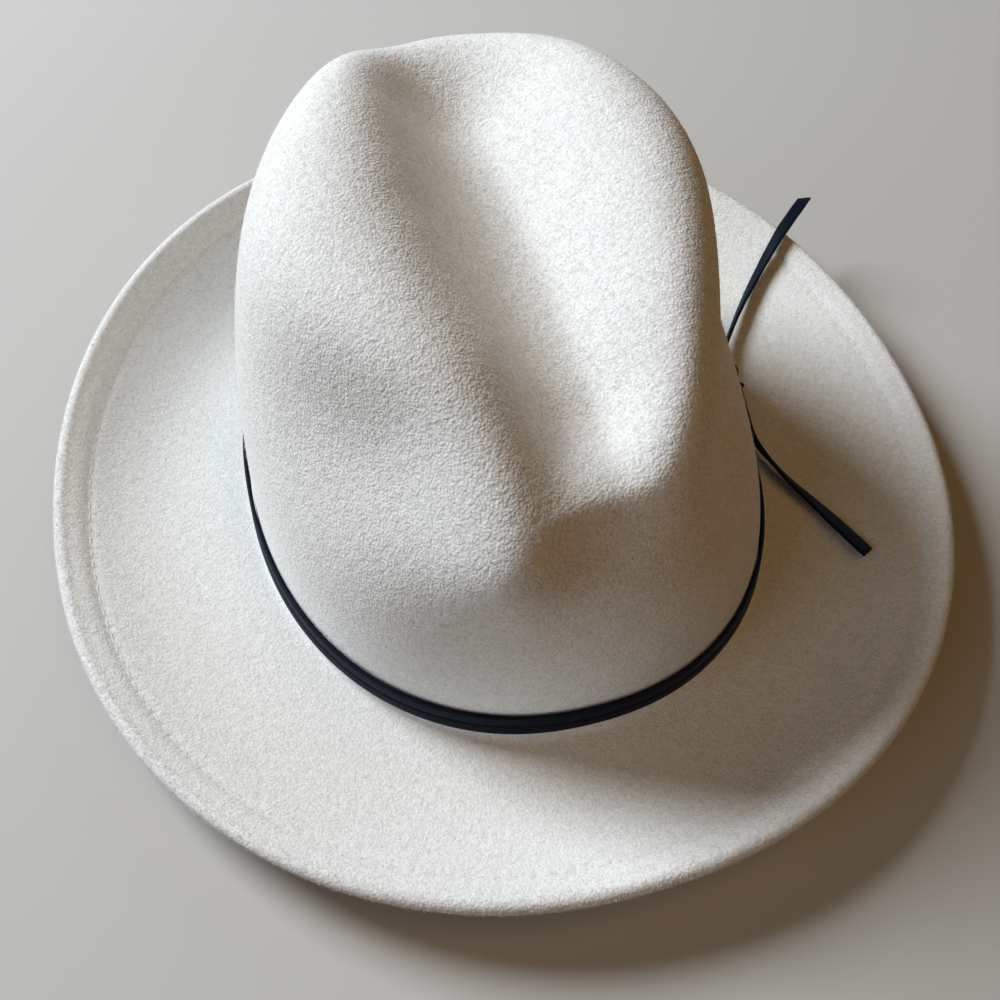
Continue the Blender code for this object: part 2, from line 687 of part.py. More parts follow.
def build():
    for old in list(bpy.data.objects):
        bpy.data.objects.remove(old, do_unlink=True)
    hat = empty("hat", CROWN_ORIGIN)
    band = empty("lace_band", CROWN_ORIGIN)
    for maker in (felt_body, brim_wire, brim_stitching, sweatband, sweatband_reed):
        maker(hat)
    for maker in (sweatband_stitching, sweatband_bow, size_tag):
        maker(hat)
    lower_foot = BREAK_TOP + LACE_FOOT_CLEARANCE
    lace_turn("lace_lower_turn", lower_foot, band)
    lace_turn("lace_upper_turn", lower_foot + LACE_WIDTH + GAP, band)
    lace_knot(band)
    lace_tail("front_tail", FRONT_TAIL_ROUTE, band)
    lace_tail("rear_tail", REAR_TAIL_ROUTE, band)


build()
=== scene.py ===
# %% [markdown]
# # A felt fedora with a lace band
# The hat is one blocked piece of wool felt. Its brim is turned under around a thin wire and stitched, a
# leather sweatband with a reed in its foot lines the head opening, and a flat leather lace runs twice
# round the crown to a knot with two loose tails. The packed model gives the sizes and the moving bodies.
# Each step below puts a finer surface in the place of one of its plain solids.

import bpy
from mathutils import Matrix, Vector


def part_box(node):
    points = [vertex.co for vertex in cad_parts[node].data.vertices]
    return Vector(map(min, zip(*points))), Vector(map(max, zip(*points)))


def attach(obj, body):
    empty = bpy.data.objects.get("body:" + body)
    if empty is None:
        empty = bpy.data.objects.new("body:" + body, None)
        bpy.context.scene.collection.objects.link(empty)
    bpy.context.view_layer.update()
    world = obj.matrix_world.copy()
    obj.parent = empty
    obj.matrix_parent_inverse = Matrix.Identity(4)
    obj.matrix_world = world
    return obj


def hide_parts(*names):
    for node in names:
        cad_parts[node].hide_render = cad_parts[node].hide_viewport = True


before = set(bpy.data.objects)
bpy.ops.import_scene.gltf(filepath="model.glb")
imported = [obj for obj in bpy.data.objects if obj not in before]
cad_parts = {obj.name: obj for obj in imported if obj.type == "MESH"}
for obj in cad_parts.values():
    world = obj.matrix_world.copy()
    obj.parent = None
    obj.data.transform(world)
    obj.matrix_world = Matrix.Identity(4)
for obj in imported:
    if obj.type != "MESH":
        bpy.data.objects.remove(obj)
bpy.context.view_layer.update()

# %% Modules and the head opening's centre
import math

import bpy
import numpy as np
from mathutils import Matrix, Vector

SCENE = bpy.context.scene
reed_low, reed_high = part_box("sweatband_reed")
CENTRE = np.array([(reed_low.x + reed_high.x) / 2, (reed_low.y + reed_high.y) / 2, 0.0])
print("head opening's centre", CENTRE)

# %% [markdown]
# ## The camera
# The hat is looked down on from its front, a little from the wearer's right and from close by, so the
# crown's tip is nearer to the camera than the brim and looks large against it. A short normal lens at a
# short distance gives that perspective. The camera's matrix is written from its forward and up directions,
# because a tracking constraint would level its slight roll.

# %% Camera
CAMERA_PLACE = CENTRE + (-0.0696, -0.2311, 0.3058)
CAMERA_FORWARD = Vector((0.1738, 0.5690, -0.8038)).normalized()
CAMERA_UP = Vector((0.1972, 0.7795, 0.5945))
LENS = 39.6
SENSOR = 36.0


def add_camera():
    """A camera whose columns are right, up and backward, worked out from its forward and up."""
    data = bpy.data.cameras.new("camera")
    data.lens = LENS
    data.sensor_width = SENSOR
    data.clip_start = 0.01
    right = CAMERA_FORWARD.cross(CAMERA_UP).normalized()
    turn = Matrix((right, right.cross(CAMERA_FORWARD), -CAMERA_FORWARD)).transposed()
    camera = bpy.data.objects.new("camera", data)
    camera.matrix_world = Matrix.Translation(CAMERA_PLACE) @ turn.to_4x4()
    SCENE.collection.objects.link(camera)
    return camera


SCENE.camera = add_camera()
print("camera at", tuple(SCENE.camera.location))

# %% [markdown]
# ## Shader expressions
# A finish is easier to read as sums and products of its patterns than as a list of linked nodes. One
# small class stands for a socket, and its operators add Math nodes. Colours go through Mix instead, because
# a Math node would turn them grey. Every other node comes from one method of the tree, which sets the
# node's settings first and then the values or links of its sockets.

# %% Sockets in an expression


class Wire:
    """A shader socket in an expression: arithmetic on it adds Math nodes to its tree."""

    def __init__(self, tree, socket):
        self.tree = tree
        self.socket = socket

    def maths(self, operation, *operands):
        """A Math node's result, from values and sockets in the node's own order."""
        return self.tree.node("ShaderNodeMath", {"operation": operation}, dict(enumerate(operands)))

    def __add__(self, other):
        return self.maths("ADD", self, other)

    def __radd__(self, other):
        return self.maths("ADD", other, self)

    def __sub__(self, other):
        return self.maths("SUBTRACT", self, other)

    def __rsub__(self, other):
        return self.maths("SUBTRACT", other, self)

    def __mul__(self, other):
        return self.maths("MULTIPLY", self, other)

    def __rmul__(self, other):
        return self.maths("MULTIPLY", other, self)

    def __pow__(self, other):
        return self.maths("POWER", self, other)

    def __rpow__(self, other):
        return self.maths("POWER", other, self)

    def __abs__(self):
        return self.maths("ABSOLUTE", self)

    def wave(self):
        """The sine of this value."""
        return self.maths("SINE", self)

    def at_most(self, limit):
        """This value, or the limit where that is less."""
        return self.maths("MINIMUM", self, limit)


print("an expression may hold sockets, numbers, +, -, *, **, abs, wave and at_most")

# %% Node trees


class Tree:
    """A node tree whose nodes are added by one method."""

    def __init__(self, tree):
        self.tree = tree

    def node(self, kind, settings=(), sockets=(), output=0):
        """Adds a node: its settings first, then the values or links of its sockets."""
        made = self.tree.nodes.new(kind)
        for name, value in dict(settings).items():
            setattr(made, name, value)
        for name, value in dict(sockets).items():
            self.feed(made.inputs[name], value)
        return Wire(self, made.outputs[output])

    def feed(self, socket, value):
        """Links an expression to a socket, or sets a plain value on it."""
        if isinstance(value, Wire):
            self.tree.links.new(value.socket, socket)
        else:
            socket.default_value = value


print("a tree adds a node with its settings, its sockets and the output that is wanted")

# %% [markdown]
# ## Finishes
# A finish is a material whose Principled shader is fed by a few patterns. The patterns read Object
# coordinates in metres, so each one is asked for by the real size of its lumps, cells or hairs. A pattern
# that has to follow a piece, such as the ribs of a ribbon, reads the piece's own UV map instead.

# %% Finishes and their patterns


class Finish(Tree):
    """A material, its Principled shader and the patterns that feed it."""

    def __init__(self, name, roughness, **uniform):
        self.material = bpy.data.materials.new(name)
        self.material.use_nodes = True
        super().__init__(self.material.node_tree)
        self.shader = self.tree.nodes["Principled BSDF"]
        self.shader.inputs["Roughness"].default_value = roughness
        for socket, value in uniform.items():
            self.shader.inputs[socket.replace("_", " ")].default_value = value

    def show(self, socket, value):
        """Feeds a socket of the Principled shader."""
        self.feed(self.shader.inputs[socket], value)

    def place(self):
        """Object coordinates, in metres."""
        return self.node("ShaderNodeTexCoord", output="Object")

    def chart(self):
        """The piece's own UV map as two numbers."""
        chart = self.node("ShaderNodeUVMap", {"uv_map": "chart"})
        return [self.node("ShaderNodeSeparateXYZ", {}, {0: chart}, output=axis) for axis in (0, 1)]

    def climb(self, low, high, share):
        """A number that goes from a share at a low height to 1 at a high one."""
        height = self.node("ShaderNodeSeparateXYZ", {}, {0: self.place()}, output=2)
        sockets = {0: height, 1: low, 2: high, 3: share, 4: 1.0}
        return self.node("ShaderNodeMapRange", {"clamp": True}, sockets)

    def noise(self, size, detail=2.0, roughness=0.5):
        """Noise between 0 and 1 whose lumps are about a size in metres across."""
        sockets = {"Vector": self.place(), "Scale": 1.0 / size, "Detail": detail, "Roughness": roughness}
        return self.node("ShaderNodeTexNoise", {}, sockets, output="Fac")

    def cells(self, size, feature="F1"):
        """The distance to scattered points about a size in metres apart, in cell widths."""
        settings = {"feature": feature}
        return self.node("ShaderNodeTexVoronoi", settings, {"Vector": self.place(), "Scale": 1.0 / size})

    def hairs(self, size, thinness):
        """Thin curly lines of 1 on 0, along the middle level of a noise."""
        return 1.0 - (abs(self.noise(size, 2.0, 0.6) - 0.5) * thinness).at_most(1.0)

    def mix(self, share, first, second):
        """A colour between two colours."""
        settings = {"data_type": "RGBA", "clamp_factor": True}
        sockets = {0: share, 6: (*first, 1.0), 7: (*second, 1.0)}
        return self.node("ShaderNodeMix", settings, sockets, output=2)

    def relief(self, height, depth, strength=1.0):
        """Feeds Normal with a bump of that height pattern, a depth in metres."""
        sockets = {"Strength": strength, "Distance": depth, "Height": height}
        self.show("Normal", self.node("ShaderNodeBump", {}, sockets))


print("patterns of a finish:", ", ".join(name for name in vars(Finish) if not name.startswith("_")))

# %% [markdown]
# ## Grids of points
# Almost every piece here is a profile carried round or along something, so it is a grid of points whose
# columns close on themselves. One function turns such grids into a mesh with whole arrays. It closes the
# ends with fans, and it turns the faces round where the signed volume says that they point inwards. Another
# function makes the mesh a piece: it gives it a finish, the body it rides on and the nodes it stands for.

# %% Faces of a grid


def quad_corners(rows, columns, loop_rows):
    """Row and column numbers of every quad's corners, before they wrap around."""
    row, column = np.meshgrid(np.arange(rows if loop_rows else rows - 1), np.arange(columns), indexing="ij")
    corner_rows = np.stack([row, row + 1, row + 1, row], axis=-1).reshape(-1, 4)
    corner_columns = np.stack([column, column, column + 1, column + 1], axis=-1).reshape(-1, 4)
    return corner_rows, corner_columns


def fan_corners(rows, columns):
    """Triangles from each end row to a middle point, whose row number is given as -1 or -2."""
    column = np.arange(columns)
    zero = np.zeros(columns, int)
    first_rows = np.stack([zero - 1, zero, zero], axis=-1)
    first_columns = np.stack([zero, column, column + 1], axis=-1)
    last_rows = np.stack([zero - 2, zero + rows - 1, zero + rows - 1], axis=-1)
    last_columns = np.stack([zero, column + 1, column], axis=-1)
    return np.vstack([first_rows, last_rows]), np.vstack([first_columns, last_columns])


def signed_volume(points, quads, triangles):
    """Six times the volume under each face's triangles, summed; it is positive for outward faces."""
    faces = np.vstack([quads[:, [0, 1, 2]], quads[:, [0, 2, 3]], triangles])
    first, second, third = (points[faces[:, corner]] for corner in range(3))
    return np.einsum("ij,ij->", first, np.cross(second, third))


print("a 3 x 4 grid:", len(quad_corners(3, 4, False)[0]), "quads,", len(fan_corners(3, 4)[0]), "triangles")

# %% Mesh from a grid


def skin(name, grid, loop_rows=False, ends=None, chart=None):
    """One closed mesh from grids of points shaped (pieces, rows, columns, 3) that close round their columns.

    Ends, shaped (pieces, 2, 3), are the middles of the fans that close the first and last rows. The chart,
    shaped (rows, columns + 1, 2), gives the UV of each row and column before they wrap around."""
    pieces, rows, columns = grid.shape[:3]
    points = grid.reshape(pieces, rows * columns, 3)
    quad_rows, quad_columns = quad_corners(rows, columns, loop_rows)
    quads = (quad_rows % rows) * columns + quad_columns % columns
    triangles = np.zeros((0, 3), int)
    if ends is not None:
        points = np.concatenate([points, ends], axis=1)
        fan_rows, fan_columns = fan_corners(rows, columns)
        rim = fan_rows * columns + fan_columns % columns
        triangles = np.where(fan_rows < 0, rows * columns - 1 - fan_rows, rim)
    if signed_volume(points[0] - points[0].mean(axis=0), quads, triangles) < 0:
        quads = quads[:, ::-1]
        triangles = triangles[:, ::-1]
        quad_rows, quad_columns = quad_rows[:, ::-1], quad_columns[:, ::-1]
        if ends is not None:
            fan_rows, fan_columns = fan_rows[:, ::-1], fan_columns[:, ::-1]
    starts = np.arange(pieces)[:, None, None] * points.shape[1]
    corners = np.concatenate([(quads + starts).ravel(), (triangles + starts).ravel()])
    sizes = np.repeat([4, 3], [pieces * len(quads), pieces * len(triangles)])
    mesh = bpy.data.meshes.new(name)
    mesh.vertices.add(points.size // 3)
    mesh.vertices.foreach_set("co", points.astype(np.float32).ravel())
    mesh.loops.add(len(corners))
    mesh.loops.foreach_set("vertex_index", corners.astype(np.int32))
    mesh.polygons.add(len(sizes))
    mesh.polygons.foreach_set("loop_start", (np.cumsum(sizes) - sizes).astype(np.int32))
    if chart is not None:
        around = chart[quad_rows, quad_columns]
        parts = [np.tile(around.reshape(-1), pieces)]
        if ends is not None:
            fans = chart[np.where(fan_rows < 0, (-1 - fan_rows) * (rows - 1), fan_rows), fan_columns]
            parts.append(np.tile(fans.reshape(-1), pieces))
        layer = mesh.uv_layers.new(name="chart")
        layer.uv.foreach_set("vector", np.concatenate(parts).astype(np.float32))
    mesh.update(calc_edges=True)
    mesh.validate()
    mesh.shade_smooth()
    return mesh


def even_chart(rows, columns):
    """A chart that counts rows and columns."""
    row, column = np.meshgrid(np.arange(rows + 1), np.arange(columns + 1), indexing="ij")
    return np.stack([column, row], axis=-1).astype(float)


print("a chart of 2 rows and 3 columns ends at", even_chart(2, 3)[-1, -1])

# %% Dressing


def dress(name, mesh, finish, body, slot, *nodes):
    """Adds a piece with its finish, which rides on a body and stands for CAD nodes."""
    piece = bpy.data.objects.new(name, mesh)
    SCENE.collection.objects.link(piece)
    mesh.materials.append(finish.material)
    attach(piece, body)
    if nodes:
        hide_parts(*nodes)
    print(name, len(mesh.polygons), "faces, for", nodes)
    return piece


print("nodes to dress:", ", ".join(sorted(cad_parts)))

# %% [markdown]
# ## The shape of the felt
# The crown was blocked as an oval dome and then creased by hand: one valley along the top that runs out
# over the front, a pinch on each side, a broad dent on the wearer's left and a soft bulge beside the
# valley's front end. Each of these is a smooth bell or step pressed into the dome. The same formulas give
# the outer face, the inner face and whatever lies on them, so the lace and the sweatband follow the felt.

# %% Sizes of the felt
HEAD_HALF_WIDTH = 0.0850
HEAD_HALF_LENGTH = 0.1035
HEAD_SQUARENESS = 2.2
FELT_THICKNESS = 0.0022
BREAK_RADIUS = 0.0030
BREAK_TOP = FELT_THICKNESS + BREAK_RADIUS
FOOT_END = BREAK_RADIUS + 0.0035
CROWN_RISE = 0.1220
BACK_EXTRA_RISE = 0.0123
LEFT_EXTRA_RISE = 0.0020
SIDE_TAPER = 0.084
FRONT_TAPER = 0.038
TOP_SQUARENESS = 1.85
FRONT_SQUARENESS = 0.20
CROWN_LEAN = -0.0018
print("crown", round(CROWN_RISE + BREAK_TOP, 4), "m to its middle, before the crease")

# %% Steps, bells and unit vectors


def smooth_step(value):
    """0 below 0, 1 above 1, and an S-shaped rise between them."""
    clipped = np.clip(value, 0.0, 1.0)
    return clipped * clipped * (3.0 - 2.0 * clipped)


def bell(value, centre, width):
    """The Gaussian exp(-((value - centre) / width)^2)."""
    return np.exp(-(((value - centre) / width) ** 2))


def unit(vectors):
    """Vectors divided by their lengths."""
    return vectors / np.linalg.norm(vectors, axis=-1, keepdims=True)


def path_length(points):
    """The sum of the distances from each point to the next."""
    return float(np.linalg.norm(np.diff(points, axis=0), axis=1).sum())


print("half-way, a step is", smooth_step(0.5), "and one width out, a bell is", round(bell(1.0, 0.0, 1.0), 3))

# %% The head opening's outline


def oval(angles, squareness):
    """A superellipse with the head opening's half width and half length."""
    cosine, sine = np.cos(angles), np.sin(angles)
    across = np.abs(cosine / HEAD_HALF_WIDTH) ** squareness
    along = np.abs(sine / HEAD_HALF_LENGTH) ** squareness
    radius = (across + along) ** (-1.0 / squareness)
    return radius * cosine, radius * sine


def outward(angles):
    """Level unit normals of the outline, from the superellipse's gradient."""
    x, y = oval(angles, HEAD_SQUARENESS)
    power = HEAD_SQUARENESS - 1.0
    slope_x = np.sign(x) * np.abs(x) ** power / HEAD_HALF_WIDTH**HEAD_SQUARENESS
    slope_y = np.sign(y) * np.abs(y) ** power / HEAD_HALF_LENGTH**HEAD_SQUARENESS
    length = np.hypot(slope_x, slope_y)
    return slope_x / length, slope_y / length


def outline_offset(angles, offset, z):
    """Points a level offset outward from the head opening's outline."""
    x, y = oval(angles, HEAD_SQUARENESS)
    normal_x, normal_y = outward(angles)
    shape = np.broadcast_shapes(np.shape(angles), np.shape(offset), np.shape(z))
    parts = (x + offset * normal_x, y + offset * normal_y, z)
    return np.stack([np.broadcast_to(part, shape) for part in parts], axis=-1)


outline = outline_offset(np.linspace(0.0, 2 * math.pi, 361), 0.0, 0.0)
print("crown's foot", round(path_length(outline), 3), "m round")

# %% The blocked dome


def blocked(angles, reach, height):
    """The dome before its creases: a rounder outline and a smaller one as the height goes from 0 to 1."""
    front = smooth_step(-np.sin(angles))
    squareness = HEAD_SQUARENESS + (TOP_SQUARENESS - HEAD_SQUARENESS + FRONT_SQUARENESS * front) * height
    oval_x, oval_y = oval(angles, squareness)
    forward = 0.5 - 0.5 * np.sin(angles)
    x = reach * oval_x * (1.0 - SIDE_TAPER * height) + CROWN_LEAN * height
    y = reach * oval_y * (1.0 - FRONT_TAPER * forward * height)
    return x, y, BREAK_TOP + crown_rise(x, y) * height


def crown_rise(x, y):
    """The dome's full rise, a little more towards the back and the wearer's left."""
    return CROWN_RISE + BACK_EXTRA_RISE * y / HEAD_HALF_LENGTH + LEFT_EXTRA_RISE * x / HEAD_HALF_WIDTH


left_x, right_x = blocked(np.array([0.0, math.pi]), 1.0, 0.5)[0]
print("dome", round(left_x - right_x, 4), "m wide half-way up")

# %% Sizes of the crease
CREASE_DEPTH = 0.0290
CREASE_X = 0.0040
CREASE_SLANT = -0.073
CREASE_RIGHT_WIDTH = 0.0279
CREASE_RIGHT_SPREAD = -0.070
CREASE_RIGHT_FLATNESS = 2.43
CREASE_LEFT_WIDTH = 0.0238
CREASE_LEFT_SPREAD = 0.035
CREASE_LEFT_FLATNESS = 1.97
CREASE_DRIFT = -0.0059
CREASE_DRIFT_Y = -0.0492
CREASE_DRIFT_RUN = 0.0450
CREASE_FRONT_Y = -0.1074
CREASE_FRONT_RUN = 0.0521
CREASE_BACK_Y = 0.0467
CREASE_BACK_RUN = 0.0624
CREASE_START_HEIGHT = 0.55
CREASE_START_RUN = 0.35
SCOOP_DEPTH = 0.0305
SCOOP_X = 0.0044
SCOOP_WIDTH = 0.0253
SCOOP_Y = -0.0827
SCOOP_RUN = 0.0272
print("valley", CREASE_DEPTH, "m deep, and", SCOOP_DEPTH, "m where it runs over the front")

# %% Sizes of the pinches, dent and bulge
RIGHT_PINCH_DEPTH = 0.0140
RIGHT_PINCH_Y = -0.0583
RIGHT_PINCH_LENGTH = 0.0352
RIGHT_PINCH_Z = 0.0911
RIGHT_PINCH_HEIGHT = 0.0264
LEFT_PINCH_DEPTH = 0.0094
LEFT_PINCH_Y = -0.0526
LEFT_PINCH_LENGTH = 0.0248
LEFT_PINCH_Z = 0.0627
LEFT_PINCH_HEIGHT = 0.0215
PINCH_RUN = 0.040
LEFT_DENT_DEPTH = 0.0159
LEFT_DENT_Y = -0.0316
LEFT_DENT_LENGTH = 0.0605
LEFT_DENT_Z = 0.0838
LEFT_DENT_HEIGHT = 0.0390
LEFT_DENT_RUN = 0.050
BULGE_DEPTH = 0.0128
BULGE_X = -0.0275
BULGE_WIDTH = 0.0166
BULGE_Z = 0.0885
BULGE_HEIGHT = 0.0227
BULGE_Y = -0.0506
BULGE_RUN = 0.035
print("pinches", RIGHT_PINCH_DEPTH, "and", LEFT_PINCH_DEPTH, "m deep, dent", LEFT_DENT_DEPTH, "m")

# %% The creased crown


def crease_drop(x, y, height):
    """The valley along the top and the scoop where it runs over the front, as a drop of the dome.

    The valley is depth * exp(-|x - middle| / width ^ flatness), with its own width and flatness on each
    side, and it opens and closes along the crown with smooth steps."""
    middle = CREASE_X + CREASE_SLANT * y + CREASE_DRIFT * smooth_step((CREASE_DRIFT_Y - y) / CREASE_DRIFT_RUN)
    right = (np.abs(x - middle) / (CREASE_RIGHT_WIDTH + CREASE_RIGHT_SPREAD * y)) ** CREASE_RIGHT_FLATNESS
    left = (np.abs(x - middle) / (CREASE_LEFT_WIDTH + CREASE_LEFT_SPREAD * y)) ** CREASE_LEFT_FLATNESS
    across = np.exp(-np.where(x < middle, right, left))
    opening = smooth_step((y - CREASE_FRONT_Y) / CREASE_FRONT_RUN)
    closing = 1.0 - smooth_step((y - CREASE_BACK_Y) / CREASE_BACK_RUN)
    scoop = SCOOP_DEPTH * bell(x, SCOOP_X, SCOOP_WIDTH) * smooth_step((SCOOP_Y - y) / SCOOP_RUN)
    on_top = smooth_step((height - CREASE_START_HEIGHT) / CREASE_START_RUN)
    return on_top * (CREASE_DEPTH * across * opening * closing + scoop)


def creased(angles, reach, height):
    """The crown's outer face: the dome, less the valley, with its pinches, dent and front bulge."""
    x, y, z = blocked(angles, reach, height)
    z = z - crease_drop(x, y, height)
    right = bell(y, RIGHT_PINCH_Y, RIGHT_PINCH_LENGTH) * bell(z, RIGHT_PINCH_Z, RIGHT_PINCH_HEIGHT)
    left = bell(y, LEFT_PINCH_Y, LEFT_PINCH_LENGTH) * bell(z, LEFT_PINCH_Z, LEFT_PINCH_HEIGHT)
    x = x + RIGHT_PINCH_DEPTH * right * smooth_step(-x / PINCH_RUN)
    x = x - LEFT_PINCH_DEPTH * left * smooth_step(x / PINCH_RUN)
    dent = bell(y, LEFT_DENT_Y, LEFT_DENT_LENGTH) * bell(z, LEFT_DENT_Z, LEFT_DENT_HEIGHT)
    x = x - LEFT_DENT_DEPTH * dent * smooth_step(x / LEFT_DENT_RUN)
    bulge = bell(x, BULGE_X, BULGE_WIDTH) * bell(z, BULGE_Z, BULGE_HEIGHT)
    y = y - BULGE_DEPTH * bulge * smooth_step((BULGE_Y - y) / BULGE_RUN)
    return np.stack([x, y, z], axis=-1)


print("tip's middle, in the valley", round(creased(np.zeros(1), 0.0, 1.0)[0, 2], 4), "m high")

# %% Steps up the crown
SIDE_ACROSS = 6.0
SIDE_UP = 3.12
SHOULDER_HEIGHT = 0.80
WALL_SHARE = 3.0 / 7.0


def wall_reach(height):
    """The reach at a height on the dome's side, from the superellipse reach^a + height^b = 1."""
    return (1.0 - height**SIDE_UP) ** (1.0 / SIDE_ACROSS)


def side_line(step):
    """Reach and height along the crown's side, from 0 at its foot to 1 at the middle of its tip.

    The wall counts evenly in height and the top counts evenly in reach."""
    wall_height = SHOULDER_HEIGHT * np.clip(step / WALL_SHARE, 0.0, 1.0)
    top_reach = wall_reach(SHOULDER_HEIGHT) * np.clip((1.0 - step) / (1.0 - WALL_SHARE), 0.0, 1.0)
    on_wall = step < WALL_SHARE
    reach = np.where(on_wall, wall_reach(wall_height), top_reach)
    height = np.where(on_wall, wall_height, (1.0 - top_reach**SIDE_ACROSS) ** (1.0 / SIDE_UP))
    return reach, height


print("the wall turns into the top at reach", round(wall_reach(SHOULDER_HEIGHT), 3), "of the dome's width")

# %% Points on the crown and off it
SMALL_STEP = 1e-4


def crown_face(angles, step, offset):
    """Points of the crown, an offset out of its outer face along the normals from small differences."""
    around = creased(angles + SMALL_STEP, *side_line(step)) - creased(angles - SMALL_STEP, *side_line(step))
    upward = creased(angles, *side_line(step + SMALL_STEP)) - creased(angles, *side_line(step - SMALL_STEP))
    return creased(angles, *side_line(step)) + np.asarray(offset)[..., None] * unit(np.cross(around, upward))


def wall_level(angles, z, offset):
    """Points of the wall at a height, a level offset out; three guesses settle the dome's height there."""
    height = np.zeros(np.broadcast_shapes(np.shape(angles), np.shape(z)))
    for _ in range(3):
        x, y, _ = blocked(angles, wall_reach(height), height)
        height = np.clip((z - BREAK_TOP) / crown_rise(x, y), 0.0, 1.0)
    points = creased(angles, wall_reach(height), height)
    normal_x, normal_y = outward(angles)
    points[..., 0] += offset * normal_x
    points[..., 1] += offset * normal_y
    points[..., 2] = z
    return points


print("the wall's left, 20 mm up", wall_level(np.zeros(1), 0.020, 0.0)[0].round(4))

# %% The brim
BRIM_WIDTH = 0.0558
BRIM_SIDE_EXTRA = 0.0040
BRIM_LEFT_EXTRA = 0.0007
BRIM_DIAGONAL_EXTRA = 0.0016
EDGE_LIFT = 0.0191
EDGE_LIFT_BACK = 0.0031
EDGE_LIFT_LEFT = 0.0010
EDGE_LIFT_SIDE = -0.0034
EDGE_LIFT_DIAGONAL = -0.0013
LIFT_EASE = 0.41
LIFT_EASE_LEFT = 0.62
LIFT_POWER = 2.2
HEM_SLIT = 0.0004
HEM_LENGTH = 0.0110
HEM_RADIUS = FELT_THICKNESS + HEM_SLIT / 2
STITCH_INSET = 0.0070


def brim_width(angles):
    """The width out to where the hem turns, a little wider at the sides and corners."""
    sides = BRIM_SIDE_EXTRA * np.cos(2 * angles) + BRIM_DIAGONAL_EXTRA * np.sin(2 * angles)
    return BRIM_WIDTH + sides + BRIM_LEFT_EXTRA * np.cos(angles)


def brim_rise(angles, share):
    """The height over the foot, lift * share^power, eased off towards the edge on the wearer's left."""
    sides = EDGE_LIFT_SIDE * np.cos(2 * angles) + EDGE_LIFT_DIAGONAL * np.sin(2 * angles)
    lift = EDGE_LIFT + sides + EDGE_LIFT_BACK * np.sin(angles) + EDGE_LIFT_LEFT * np.cos(angles)
    ease = LIFT_EASE + LIFT_EASE_LEFT * np.cos(angles)
    return lift * share**LIFT_POWER * (1.0 + ease * (1.0 - share))


def brim_face(angles, inset, depth, sideways=0.0):
    """Points of the brim, an inset from the hem's turn, a depth under its top and a step outward along it."""
    run = brim_width(angles) - FOOT_END
    share = np.clip((run - inset) / run, 0.0, 1.0)
    before = np.maximum(share - SMALL_STEP, 0.0)
    climb = brim_rise(angles, share + SMALL_STEP) - brim_rise(angles, before)
    tilt = np.arctan(climb / (share + SMALL_STEP - before) / run)
    offset = brim_width(angles) - inset + depth * np.sin(tilt) + sideways * np.cos(tilt)
    z = FELT_THICKNESS + brim_rise(angles, share) - depth * np.cos(tilt) + sideways * np.sin(tilt)
    return outline_offset(angles, offset, z)


quarters = np.arange(4) * math.pi / 2
print("edge's lift at the left, back, right and front", brim_rise(quarters, 1.0).round(4), "m")

# %% [markdown]
# ## Black lace
# The band is a flat leather lace. It is nearly black in the shade and slate blue where the window lights it.
# That slate-blue sheen is painted into its colour, a very dark blue, and its gloss is weak. Fine pores and
# shallow creases break the gloss up. They are bump, because they are thinner than any face would be.

# %% Lace finish


def lace_finish():
    """Nearly black leather, its very dark blue colour a painted slate-blue sheen: pores and wrinkles in the
    bump, and a colour and roughness that wander a little.
    """
    finish = Finish("black_lace", 0.46, Specular_IOR_Level=0.05)
    pores = finish.cells(0.00045)
    wrinkles = finish.noise(0.0016, 3.0, 0.6)
    wear = finish.noise(0.009)
    # A painted sheen: the blue in these two colours paints the slate blue that the window gives the lace.
    finish.show("Base Color", finish.mix(wear, (0.0015, 0.0045, 0.0110), (0.0040, 0.0090, 0.0190)))
    finish.show("Roughness", 0.36 + wear * 0.16 + wrinkles * 0.06)
    finish.relief(wrinkles * 0.7 + pores * 0.3, 0.00012, 0.6)
    return finish


LACE = lace_finish()
print("finish", LACE.material.name)

# %% [markdown]
# ## The lace tails
# Both ends of the lace leave the knot on edge, turn to lie flat and run out over the brim, one to the
# front and one to the back, where it climbs the brim's curl. Each is a free cord with its real length.
# The route is a short list of points with the lace's turn at each, a cubic curve is read through them,
# and a flat section with soft edges is carried along it. A curve object could do this with an extrusion,
# but a mesh can have the slanted cut at its end and the slight swelling along its edges.

# %% Routes of the tails
FRONT_TAIL_ROUTE = [
    (3.3, 0.0075, 0.0058, 0),
    (-3.3, 0.0058, 0.0053, 0),
    (-9.8, 0.0053, 0.0046, 10),
    (-19.1, 0.0105, 0.0038, 38),
    (-28.2, 0.0211, 0.0023, 70),
    (-33.6, 0.0277, 0.0025, 84),
    (-38.2, 0.0341, 0.0026, 90),
]
REAR_TAIL_ROUTE = [
    (12.9, 0.0075, 0.0066, 0),
    (16.6, 0.0119, 0.0058, 4),
    (19.9, 0.0175, 0.0048, 10),
    (24.6, 0.0283, 0.0042, 22),
    (28.0, 0.0397, 0.0035, 38),
    (29.9, 0.0486, 0.0040, 55),
    (31.4, 0.0571, 0.0036, 70),
    (32.8, 0.0662, 0.0039, 80),
    (34.3, 0.0778, 0.0050, 88),
]


def over_brim(route):
    """Places and turns of a route given as degrees round the opening, distance out, height over the brim."""
    degrees, out, over, turn = np.array(route, float).T
    angles = np.radians(degrees)
    share = np.clip((out - FOOT_END) / (brim_width(angles) - FOOT_END), 0.0, 1.0)
    places = outline_offset(angles, out, FELT_THICKNESS + brim_rise(angles, share) + over)
    return np.column_stack([places, turn])


print("front tail ends at", over_brim(FRONT_TAIL_ROUTE)[-1, :3].round(3))
print("rear tail ends at", over_brim(REAR_TAIL_ROUTE)[-1, :3].round(3))

# %% A cubic through a route
TAIL_STATIONS = 72


